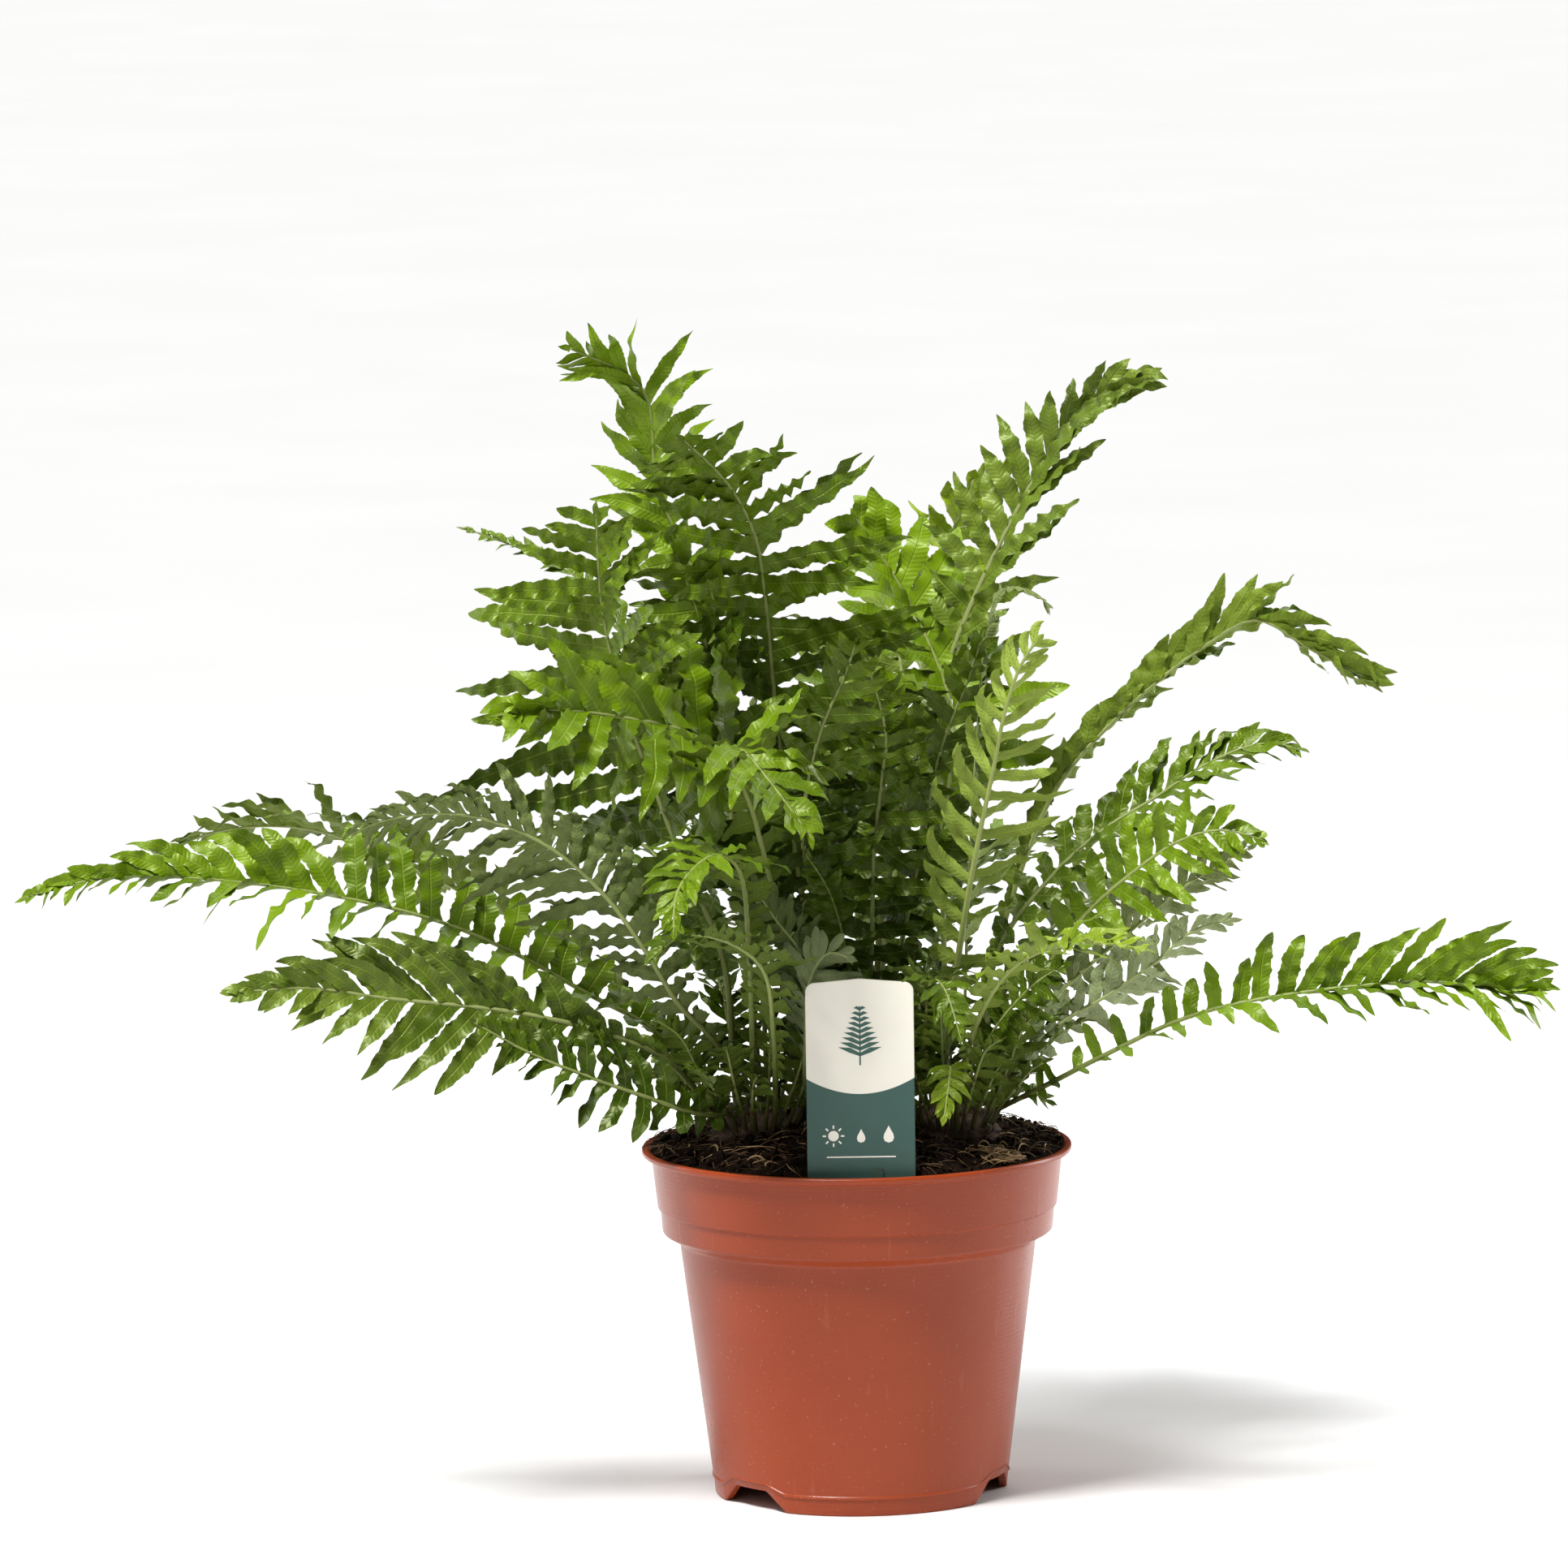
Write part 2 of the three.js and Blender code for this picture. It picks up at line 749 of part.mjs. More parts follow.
    stand: ["left", "outer", 98],
    leaflet: 36,
    pairs: 10,
    side: [0.75, 0.65, 0],
    bare: 0.3,
    path: [[-58, 40, 220], [-82, 84, 266], [-108, 124, 280], [-136, 158, 272], [-156, 182, 254]],
  },
  {
    name: "frond_back_right_low",
    colour: "green",
    stand: ["right", "outer", 85],
    leaflet: 32,
    pairs: 10,
    side: [0.75, -0.65, 0],
    bare: 0.3,
    path: [[62, 28, 210], [92, 68, 243], [122, 106, 253], [156, 146, 240]],
  },
];

// The share of the full leaflet length at the share along of the blade.
function leafletShare(frond, along) {
  const full = frond.full ?? USUAL_FULL;
  const rise = 0.28 + 0.72 * Math.min(1, along / full) ** 1.2;
  const fall = 1 - 0.8 * Math.max(0, (along - 0.6) / 0.4) ** 1.3;
  return rise * fall;
}

// Where the stalk stands: the middle of its hole's mouth on the crown, and its direction there.
function stalkFoot(frond) {
  const [crown, ring, degrees] = frond.stand;
  const { radius, slant } = RINGS[ring];
  const angle = THREE.MathUtils.degToRad(degrees);
  const tilt = THREE.MathUtils.degToRad(slant);
  const [x, y] = CROWNS[crown];
  const out = new THREE.Vector3(Math.cos(angle), Math.sin(angle), 0);
  const mouth = new THREE.Vector3(x, y, crownHeight(radius)).addScaledVector(out, radius);
  const direction = UP.clone().multiplyScalar(Math.cos(tilt)).addScaledVector(out, Math.sin(tilt));
  return { mouth, direction };
}

function stalkRadius(frond) {
  return frond.leaflet > 25 ? THICK_STALK : THIN_STALK;
}

function ribRadius(frond, index) {
  return stalkRadius(frond) * (0.9 - (0.45 * index) / frond.pairs);
}

// A cross-section of stalk or rib: its middle, and the unit vectors to its right, upper side and tip.
function station(point, tangent, side) {
  const right = side.clone().addScaledVector(tangent, -side.dot(tangent)).normalize();
  const upper = right.clone().cross(tangent);
  return { point, tangent, right, upper };
}

// The five corners of a cross-section, round from the upper left: a stalk with a flat top, or a rib whose
// upper and lower corners on each side are where the leaflets join.
function corners(at, radius, isBlade) {
  const half = BLADE_THICKNESS / 2;
  const flat = RIB_FLAT * radius;
  const shape = isBlade
    ? [[-flat, half], [flat, half], [flat, -half], [0, -radius], [-flat, -half]]
    : STALK_SHAPE.map(([a, b]) => [a * radius, b * radius]);
  return shape.map(([a, b]) => at.point.clone().addScaledVector(at.right, a).addScaledVector(at.upper, b));
}

// All cross-sections of a frond: two in the straight foot, then up the bare stalk, then along the blade.
function stationsOf(frond) {
  const { mouth, direction } = stalkFoot(frond);
  const side = new THREE.Vector3(...frond.side).normalize();
  const start = mouth.clone().addScaledVector(direction, STALK_COLLAR);
  const root = mouth.clone().addScaledVector(direction, -STALK_ROOT);
  const points = frond.path.map((place) => new THREE.Vector3(...place));
  const curve = new THREE.CatmullRomCurve3([start, ...points], false, "centripetal");
  const stalk = [station(root, direction, side), station(start, direction, side)];
  for (let i = 1; i < STALK_STATIONS; i++) {
    const along = (frond.bare * i) / STALK_STATIONS;
    stalk.push(station(curve.getPointAt(along), curve.getTangentAt(along), side));
  }
  const blade = [];
  for (let i = 0; i <= frond.pairs; i++) {
    const along = frond.bare + ((BLADE_END - frond.bare) * i) / frond.pairs;
    blade.push(station(curve.getPointAt(along), curve.getTangentAt(along), side));
  }
  return { stalk, blade, tip: points.at(-1) };
}

// A leaflet's edge points: the outer bulge of its lower edge and its tip. Its foot is the rib between two
// cross-sections. bend turns it about the rib and trim shortens it.
function leafletPoints(frond, blade, index, hand, bend, trim) {
  const here = blade[index];
  const next = blade[index + 1];
  const along = (index + 0.5) / frond.pairs;
  const [leanFoot, leanTip] = frond.lean ?? USUAL_LEAN;
  const lean = THREE.MathUtils.degToRad(leanFoot + (leanTip - leanFoot) * along ** 1.5);
  const lift = THREE.MathUtils.degToRad((frond.lift ?? USUAL_LIFT) + bend);
  const spread = 1 + LENGTH_SPREAD * draw(97 * index + hand + frond.pairs);
  const length = frond.leaflet * leafletShare(frond, along) * trim * spread;
  const out = here.right.clone().multiplyScalar(hand * Math.cos(lift));
  out.addScaledVector(here.upper, Math.sin(lift));
  const run = (angle, way) => {
    const place = here.point.clone().addScaledVector(out, way * Math.sin(angle));
    return place.addScaledVector(here.tangent, way * Math.cos(angle));
  };
  const pitch = here.point.distanceTo(next.point);
  const bulge = run(lean + LEAFLET_BELLY, BULGE_AT * length);
  bulge.addScaledVector(here.upper, BULGE_CUP * length * (index % 2 ? 1 : -1));
  const tip = run(lean - LEAFLET_BELLY, length).addScaledVector(here.tangent, TIP_AHEAD * pitch);
  bulge.z -= BULGE_CUP * length;
  tip.z -= TIP_DROOP * length;
  return { bulge, tip };
}

// Gaps between the mid-surfaces of leaflets, and between these and the middle lines of stalks and ribs.
function gapLineTriangle(line, triangle) {
  const nearest = new THREE.Vector3();
  const span = line.distance();
  const ray = new THREE.Ray(line.start, line.delta(new THREE.Vector3()).divideScalar(span));
  const hit = ray.intersectTriangle(triangle.a, triangle.b, triangle.c, false, nearest);
  if (hit && hit.distanceTo(line.start) <= span) return 0;
  let gap = Infinity;
  for (const end of [line.start, line.end]) {
    gap = Math.min(gap, triangle.closestPointToPoint(end, nearest).distanceTo(end));
  }
  for (const edge of edgesOf(triangle)) gap = Math.min(gap, Math.sqrt(edge.distanceSqToLine3(line)));
  return gap;
}

function edgesOf(triangle) {
  triangle.edges ??= [
    new THREE.Line3(triangle.a, triangle.b),
    new THREE.Line3(triangle.b, triangle.c),
    new THREE.Line3(triangle.c, triangle.a),
  ];
  return triangle.edges;
}

function gapTriangles(one, other) {
  let gap = Infinity;
  for (const edge of edgesOf(one)) gap = Math.min(gap, gapLineTriangle(edge, other));
  for (const edge of edgesOf(other)) gap = Math.min(gap, gapLineTriangle(edge, one));
  return gap;
}

function sheet(owner, points) {
  const [foot, bulge, tip, end] = points;
  const triangles = [new THREE.Triangle(foot, bulge, end), new THREE.Triangle(bulge, tip, end)];
  const outer = [new THREE.Triangle(bulge, tip, tip.clone().lerp(end, 0.5))];
  const ball = new THREE.Sphere().setFromPoints(points);
  return { owner, triangles, outer, ball };
}

function areApart(some, others, clearance) {
  return some.every((one) => others.every((other) => gapTriangles(one, other) >= clearance));
}

// True where a point of the leaflet would touch the soil, the pot's rim or the pot's wall.
function reachesPot(points) {
  for (const [from, to] of [[0, 1], [1, 2], [0, 2], [3, 2]]) {
    for (let step = 0; step <= 4; step++) {
      const place = points[from].clone().lerp(points[to], step / 4);
      const radius = Math.hypot(place.x, place.y);
      const ground = Math.max(soilHeight(radius) + SOIL_BUMP, POT_HEIGHT) + STALK_CLEARANCE;
      if (place.z < STALK_CLEARANCE) return true;
      if (radius < RIM_RADIUS + STALK_CLEARANCE && place.z < ground) return true;
    }
  }
  return false;
}

// Each leaflet is bent, and where that isn't enough shortened, until it clears what is already there.
const BENDS = [0, 10, -10, 20, -20, 32, -32, 45, -45];
const TRIMS = [1, 0.85, 0.7, 0.55, 0.4, 0.25];
const BEND_STEP = 25;
const STUB = 0.1;

function isClear(piece, points, ribs, sheets, index) {
  if (reachesPot(points)) return false;
  for (const rib of ribs) {
    if (rib.owner === piece.owner) continue;
    const reach = piece.ball.radius + rib.reach + STALK_CLEARANCE;
    if (piece.ball.center.distanceTo(rib.middle) > reach) continue;
    for (const triangle of piece.triangles) {
      if (gapLineTriangle(rib.line, triangle) < STALK_CLEARANCE) return false;
    }
  }
  for (const other of sheets) {
    const reach = piece.ball.radius + other.ball.radius + BLADE_CLEARANCE;
    if (piece.ball.center.distanceTo(other.ball.center) > reach) continue;
    const step = other.owner === piece.owner ? Math.abs(other.index - index) : Infinity;
    if (step === 0) continue;
    if (step === 1) {
      if (!areApart(piece.outer, other.triangles, NEIGHBOUR_CLEARANCE)) return false;
      if (!areApart(other.outer, piece.triangles, NEIGHBOUR_CLEARANCE)) return false;
    } else if (!areApart(piece.triangles, other.triangles, BLADE_CLEARANCE)) return false;
  }
  return true;
}

function placeLeaflet(frond, blade, index, hand, ribs, sheets) {
  const [foot, end] = [index, index + 1].map((at) => {
    const { point, right } = blade[at];
    return point.clone().addScaledVector(right, hand * RIB_FLAT * ribRadius(frond, at));
  });
  const own = sheets.filter((other) => other.owner === frond.name && other.hand === hand);
  const before = own.find((other) => other.index === index - 1);
  const bends = BENDS.filter((bend) => !before || Math.abs(bend - before.bend) <= BEND_STEP);
  for (const trim of TRIMS) {
    for (const bend of bends) {
      const { bulge, tip } = leafletPoints(frond, blade, index, hand, bend, trim);
      const points = [foot, bulge, tip, end];
      const piece = { ...sheet(frond.name, points), index, hand, bend };
      if (isClear(piece, points, ribs, sheets, index)) {
        sheets.push(piece);
        return { bulge, tip };
      }
    }
  }
  return leafletPoints(frond, blade, index, hand, 0, STUB);
}

// The frond's closed surface. Corners are numbered as corners() gives them.
const FOOT_CAP = [[0, 2, 1], [0, 3, 2], [0, 4, 3]];

function frondGeometry(frond, ribs, sheets) {
  const { stalk, blade, tip } = stationsOf(frond);
  const places = [];
  const faces = [];
  const add = (place) => places.push(place) - 1;
  const quad = (a, b, c, d) => faces.push([a, b, c], [a, c, d]);
  const rings = [
    ...stalk.map((at) => corners(at, stalkRadius(frond), false).map(add)),
    ...blade.map((at, i) => corners(at, ribRadius(frond, i), true).map(add)),
  ];
  for (const [a, b, c] of FOOT_CAP) faces.push([rings[0][a], rings[0][b], rings[0][c]]);
  for (let i = 0; i + 1 < rings.length; i++) {
    const low = rings[i];
    const high = rings[i + 1];
    const bare = i < stalk.length;
    for (let side = 0; side < 5; side++) {
      const isFlank = side === 1 || side === 4;
      if (bare || !isFlank) quad(low[side], low[(side + 1) % 5], high[(side + 1) % 5], high[side]);
    }
    if (bare) continue;
    const index = i - stalk.length;
    for (const hand of [1, -1]) {
      const { bulge, tip: point } = placeLeaflet(frond, blade, index, hand, ribs, sheets);
      const face = new THREE.Triangle(blade[index].point, bulge, point).getNormal(new THREE.Vector3());
      const skew = face.multiplyScalar(Math.sign(face.dot(blade[index].upper)) * BLADE_THICKNESS * 0.5);
      const top = hand > 0 ? 1 : 0;
      const under = hand > 0 ? 2 : 4;
      const upper = [low[top], add(bulge.clone().add(skew)), add(point.clone().add(skew)), high[top]];
      const lower = [low[under], add(bulge.clone().sub(skew)), add(point.clone().sub(skew)), high[under]];
      const turn = (a, b, c) => faces.push(hand > 0 ? [a, b, c] : [a, c, b]);
      turn(upper[0], upper[1], upper[3]);
      turn(upper[1], upper[2], upper[3]);
      turn(lower[0], lower[3], lower[1]);
      turn(lower[1], lower[3], lower[2]);
      for (let edge = 0; edge < 3; edge++) {
        turn(upper[edge], lower[edge], lower[edge + 1]);
        turn(upper[edge], lower[edge + 1], upper[edge + 1]);
      }
    }
  }
  const last = rings.at(-1);
  const end = add(tip);
  for (let side = 0; side < 5; side++) faces.push([last[side], last[(side + 1) % 5], end]);
  const geometry = new THREE.BufferGeometry().setFromPoints(places);
  geometry.setIndex(faces.flat());
  geometry.computeVertexNormals();
  return geometry;
}

// The hole that the stalk stands in: its own foot, a little larger all round and open above.
function stalkHole(frond) {
  const { mouth, direction } = stalkFoot(frond);
  const side = new THREE.Vector3(...frond.side).normalize();
  const grown = stalkRadius(frond) + 1.4 * GAP;
  const ends = [-STALK_ROOT - GAP, STALK_COLLAR].map((way) => {
    const point = mouth.clone().addScaledVector(direction, way);
    return corners(station(point, direction, side), grown, false);
  });
  const faces = [...FOOT_CAP, [5, 6, 7], [5, 7, 8], [5, 8, 9]];
  for (let edge = 0; edge < 5; edge++) {
    const next = (edge + 1) % 5;
    faces.push([edge, next, next + 5], [edge, next + 5, edge + 5]);
  }
  const geometry = new THREE.BufferGeometry().setFromPoints(ends.flat());
  return geometry.setIndex(faces.flat());
}

function ribsOf(frond) {
  const { stalk, blade, tip } = stationsOf(frond);
  const points = [...stalk.slice(1), ...blade].map((at) => at.point);
  points.push(tip);
  return points.slice(1).map((point, i) => {
    const line = new THREE.Line3(points[i], point);
    const middle = line.getCenter(new THREE.Vector3());
    return { owner: frond.name, line, middle, reach: line.distance() / 2 };
  });
}

const plant = new THREE.Group();

function place(name, geometry, finish) {
  const mesh = new THREE.Mesh(geometry, finish);
  mesh.name = name;
  plant.add(mesh);
}

const tagHole = tagGeometry(GAP);
const crownHoles = Object.keys(CROWNS).map(crownHole);
place("pot", potGeometry(), material(COLOURS.pot, 0.35));
place("soil", soilGeometry(crownHoles, tagHole), material(COLOURS.soil, 1));
place("plant_tag", tagGeometry(0), material(COLOURS.tag, 0.4));
for (const crown of Object.keys(CROWNS)) {
  const holes = FRONDS.filter((frond) => frond.stand[0] === crown).map(stalkHole);
  place(`crown_${crown}`, crownGeometry(crown, holes), material(COLOURS.crown, 0.95));
}

const ribs = FRONDS.flatMap(ribsOf);
const [tagX, tagY] = TAG_CENTRE;
const tagCorners = [[-1, TAG_POINT], [1, TAG_POINT], [1, TAG_TOP], [-1, TAG_TOP]].map(
  ([hand, height]) => new THREE.Vector3(tagX + (hand * TAG_WIDTH) / 2, tagY, height),
);
const sheets = [{ ...sheet("plant_tag", tagCorners), index: 0 }];
for (const frond of FRONDS) {
  place(frond.name, frondGeometry(frond, ribs, sheets), material(COLOURS[frond.colour], 0.5));
}

export default plant;
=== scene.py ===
import math
import bpy
import bmesh
import numpy as np
from mathutils import Matrix, Vector, noise


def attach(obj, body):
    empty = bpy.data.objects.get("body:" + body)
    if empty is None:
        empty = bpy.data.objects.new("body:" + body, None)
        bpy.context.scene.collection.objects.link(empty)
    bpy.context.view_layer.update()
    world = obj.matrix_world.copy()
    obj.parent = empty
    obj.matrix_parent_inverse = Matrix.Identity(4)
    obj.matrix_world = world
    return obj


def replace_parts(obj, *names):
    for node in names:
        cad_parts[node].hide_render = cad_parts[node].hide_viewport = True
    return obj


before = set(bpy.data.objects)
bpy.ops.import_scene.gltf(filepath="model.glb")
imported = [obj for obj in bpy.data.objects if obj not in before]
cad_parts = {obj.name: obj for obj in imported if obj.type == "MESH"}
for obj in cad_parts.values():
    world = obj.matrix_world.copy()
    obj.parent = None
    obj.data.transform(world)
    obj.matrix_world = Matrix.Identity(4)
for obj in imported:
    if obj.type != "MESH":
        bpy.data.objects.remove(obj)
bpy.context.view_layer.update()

# A silver lady fern in a round nursery pot, put together as a grower does: the pot, its soil, the crowns in
# the soil, the fronds that stand in the crowns, and the tag pushed in at the front. Sizes and places are in
# millimetres, which MM turns into metres. Materials and the studio measure in metres.


# The pot: one thin moulding of terracotta-brown plastic with a rolled lip, a collar that stands proud of the
# tapered body, and a foot ring with three notches. It is injection moulded, so its edges are softly rounded
# and fine rings from the turned mould go round it.
MM = 0.001
POT_WALL = [
    (0, 0, 0), (14, 0, 0.8), (14, 8, 1), (61.1, 8, 1), (61.1, 0, 0.8), (64.5, 0, 0.9), (65.3, 7.2, 0),
    (65.95, 7.6, 0.2), (65.95, 8.5, 0.2), (65.6, 9, 0), (78.9, 113.4, 3), (86.3, 117.4, 1.6),
    (87.1, 127.5, 0.4), (88.3, 128.4, 0.4), (90.8, 151.2, 0.8), (95, 152.2, 0.9), (95, 155, 1.2),
    (92.8, 155, 0.9), (89.7, 152.6, 1), (84.6, 118.4, 1.2), (77.3, 114.6, 1.2), (63.9, 9.6, 1), (0, 9.6, 0),
]
POT_SECTORS = 288
FOOT_RADIUS = 64.5
FOOT_INNER_RADIUS = 60
FOOT_MIDDLE_RADIUS = 62.5
NOTCHES = [-50, 70, 190]
NOTCH_HALF_WIDTH = 21.5
NOTCH_SLOPE = 11
NOTCH_HEIGHT = 8.8
NOTCH_FADES_AT = 16
FLOOR_TOP = 9.4
DRAIN_HOLES = 6
DRAIN_RING = 42
DRAIN_RADIUS = 4.5
DRAIN_MIDDLE = 8.8
DRAIN_DEPTH = 6
DRAIN_SIDES = 40
MOULD_RING = 0.0021


def round_corners(outline, steps=4):
    """An outline of (x, y, radius) corners as plain points, with each corner turned on its radius."""
    points = []
    for i, (x, y, radius) in enumerate(outline):
        here = np.array([x, y], float)
        if radius == 0:
            points.append(here)
            continue
        before = np.array(outline[i - 1][:2], float) - here
        after = np.array(outline[(i + 1) % len(outline)][:2], float) - here
        before /= np.linalg.norm(before)
        after /= np.linalg.norm(after)
        half = math.acos(np.clip(before @ after, -1, 1)) / 2
        reach = radius / math.tan(half)
        middle = here + (before + after) / np.linalg.norm(before + after) * radius / math.sin(half)
        start = here + before * reach - middle
        end = here + after * reach - middle
        for share in np.linspace(0, 1, steps + 1):
            spoke = start * (1 - share) + end * share
            points.append(middle + spoke / np.linalg.norm(spoke) * radius)
    return np.array(points)


def turned_grid(outline, sectors):
    """Points and faces of an outline of (radius, height) turned about the upright axis, poles included."""
    angles = np.arange(sectors) * 2 * math.pi / sectors
    radius = outline[:, 0][:, None]
    height = np.broadcast_to(outline[:, 1][:, None], (len(outline), sectors))
    points = np.stack([radius * np.cos(angles), radius * np.sin(angles), height], -1)
    index = np.arange(len(outline) * sectors).reshape(len(outline), sectors)
    ahead = np.roll(index, -1, axis=1)
    quads = np.stack([index[:-1], ahead[:-1], ahead[1:], index[1:]], -1).reshape(-1, 4)
    return points, quads


def smooth_shade(piece, sharp_from):
    """Rounds the shading, but for edges sharper than an angle."""
    piece.data.shade_smooth()
    piece.data.set_sharp_from_angle(angle=math.radians(sharp_from))


def make_piece(name, points, faces, finishes, face_finish=None, blade=None, tone=None, sharp_from=35):
    """A mesh object from points in metres and lists of equal-sided faces, with its finishes in order.

    The blade map and the tone are the leaf tissue's own, one row for each point."""
    mesh = bpy.data.meshes.new(name)
    counts = np.concatenate([np.full(len(f), f.shape[1]) for f in faces])
    corners = np.concatenate([f.ravel() for f in faces]).astype(np.int32)
    mesh.vertices.add(len(points))
    mesh.vertices.foreach_set("co", np.asarray(points, np.float32).ravel())
    mesh.loops.add(len(corners))
    mesh.loops.foreach_set("vertex_index", corners)
    mesh.polygons.add(len(counts))
    starts = np.concatenate([[0], np.cumsum(counts)[:-1]])
    mesh.polygons.foreach_set("loop_start", starts.astype(np.int32))
    if face_finish is not None:
        mesh.polygons.foreach_set("material_index", np.asarray(face_finish, np.int32))
    mesh.update(calc_edges=True)
    mesh.validate()
    if blade is not None:
        layer = mesh.uv_layers.new(name="blade")
        layer.data.foreach_set("uv", np.asarray(blade, np.float32)[corners].ravel())
    if tone is not None:
        layer = mesh.attributes.new("tone", "FLOAT_COLOR", "POINT")
        layer.data.foreach_set("color", np.asarray(tone, np.float32).ravel())
    for finish in finishes:
        mesh.materials.append(finish)
    piece = bpy.data.objects.new(name, mesh)
    bpy.context.scene.collection.objects.link(piece)
    smooth_shade(piece, sharp_from)
    return piece


class Finish:
    """A material that is built node by node. Each call adds a node and returns its output."""

    def __init__(self, name, roughness, specular=0.5, coat=0.0, coat_roughness=0.2, tint=(1, 1, 1)):
        self.material = bpy.data.materials.new(name)
        self.material.use_nodes = True
        self.tree = self.material.node_tree
        self.shader = self.tree.nodes["Principled BSDF"]
        inputs = self.shader.inputs
        inputs["Roughness"].default_value = roughness
        inputs["Specular IOR Level"].default_value = specular
        inputs["Coat Weight"].default_value = coat
        inputs["Coat Roughness"].default_value = coat_roughness
        inputs["Specular Tint"].default_value = (*tint, 1)
        self.place = self.tree.nodes.new("ShaderNodeTexCoord").outputs["Object"]

    def node(self, kind, links=None, **settings):
        """Adds a node. Its inputs are linked to outputs, or set to plain values."""
        made = self.tree.nodes.new(kind)
        for key, value in settings.items():
            setattr(made, key, value)
        for key, value in (links or {}).items():
            if isinstance(value, bpy.types.NodeSocket):
                self.tree.links.new(value, made.inputs[key])
            else:
                made.inputs[key].default_value = value
        return made

    def axes(self, place):
        """The X, Y and Z outputs of a place or a map."""
        return self.node("ShaderNodeSeparateXYZ", {0: place}).outputs

    def speckle(self, scale, detail=4.0, roughness=0.6, stretch=None):
        """Cloudy noise from 0 to 1, scale in lumps per metre, drawn out along an axis by stretch."""
        place = self.place
        if stretch:
            place = self.node("ShaderNodeMapping", {"Vector": place, "Scale": stretch}).outputs[0]
        links = {"Vector": place, "Scale": scale, "Detail": detail, "Roughness": roughness}
        return self.node("ShaderNodeTexNoise", links).outputs["Fac"]

    def spread(self, value, low, high, to_low=0.0, to_high=1.0):
        """The value's range from low to high, stretched to another range and cut off at its ends."""
        links = {"Value": value, "From Min": low, "From Max": high, "To Min": to_low, "To Max": to_high}
        return self.node("ShaderNodeMapRange", links, clamp=True).outputs["Result"]

    def maths(self, kind, one, other=0.0):
        return self.node("ShaderNodeMath", {0: one, 1: other}, operation=kind).outputs[0]

    def blend(self, share, one, other):
        """The first colour where the share is 0, and the other where it is 1."""
        mix = self.node("ShaderNodeMix", data_type="RGBA")
        for socket, value in ((mix.inputs[0], share), (mix.inputs[6], one), (mix.inputs[7], other)):
            if isinstance(value, bpy.types.NodeSocket):
                self.tree.links.new(value, socket)
            else:
                socket.default_value = (*value, 1)
        return mix.outputs[2]

    def relief(self, height, depth, below=None):
        """Fine relief of a depth in metres, laid over the relief below it."""
        links = {"Height": height, "Strength": 1.0, "Distance": depth}
        if below:
            links["Normal"] = below
        return self.node("ShaderNodeBump", links).outputs["Normal"]

    def wear(self, colour, roughness=None, normal=None):
        """Gives the shader its colour, roughness and relief, and returns the material."""
        for key, value in (("Base Color", colour), ("Roughness", roughness), ("Normal", normal)):
            if value is not None:
                self.tree.links.new(value, self.shader.inputs[key])
        return self.material


def pot_plastic():
    """Glossy terracotta plastic: faintly uneven, with mould rings, rubbed dull patches and fine scratches."""
    made = Finish("terracotta_plastic", 0.3, specular=0.34)
    cloud = made.speckle(9, 3)
    colour = made.blend(made.spread(cloud, 0.35, 0.7), (0.285, 0.041, 0.0085), (0.325, 0.05, 0.011))
    height = made.axes(made.place)["Z"]
    rings = made.maths("SINE", made.maths("MULTIPLY", height, 2 * math.pi / MOULD_RING))
    scratch = made.spread(made.speckle(260, 2, 0.5, stretch=(1, 1, 0.06)), 0.66, 0.72)
    specks = made.spread(made.speckle(700, 1, 0.4), 0.71, 0.76)
    colour = made.blend(made.maths("MULTIPLY", scratch, 0.12), colour, (0.48, 0.17, 0.09))
    colour = made.blend(made.maths("MULTIPLY", specks, 0.35), colour, (0.5, 0.24, 0.15))
    dull = made.spread(made.speckle(14, 5, 0.65), 0.3, 0.75, 0.24, 0.38)
    normal = made.relief(rings, 0.000012)
    normal = made.relief(made.speckle(900, 2), 0.00003, normal)
    normal = made.relief(scratch, 0.00004, normal)
    return made.wear(colour, dull, normal)


# The moulding: the wall turned about its axis, then its foot lifted into three sloping notches.
wall = round_corners(POT_WALL)
wall[:, 0] = np.maximum(wall[:, 0], 0)
points, quads = turned_grid(wall, POT_SECTORS)
compass = np.degrees(np.arctan2(points[..., 0], -points[..., 1]))
out = np.hypot(points[..., 0], points[..., 1])
for notch in NOTCHES:
    away = np.radians((compass - notch + 180) % 360 - 180) * FOOT_RADIUS
    cut = np.clip((NOTCH_HALF_WIDTH - np.abs(away)) / NOTCH_SLOPE, 0, 1) * NOTCH_HEIGHT
    low = points[..., 2]
    foot = (out > FOOT_INNER_RADIUS) & (np.abs(away) < NOTCH_HALF_WIDTH)
    outer = foot & (out > FOOT_MIDDLE_RADIUS) & (low < NOTCH_FADES_AT)
    points[..., 2] = np.where(outer, cut + low * (NOTCH_FADES_AT - cut) / NOTCH_FADES_AT, low)
    inner = foot & ~outer & (low < FLOOR_TOP)
    points[..., 2] = np.where(inner, np.maximum(low, cut), low)
pot = make_piece("nursery_pot", points.reshape(-1, 3) * MM, [quads], [pot_plastic()])
weld = bmesh.new()
weld.from_mesh(pot.data)
bmesh.ops.remove_doubles(weld, verts=weld.verts, dist=1e-7)
bmesh.ops.recalc_face_normals(weld, faces=weld.faces)
weld.to_mesh(pot.data)

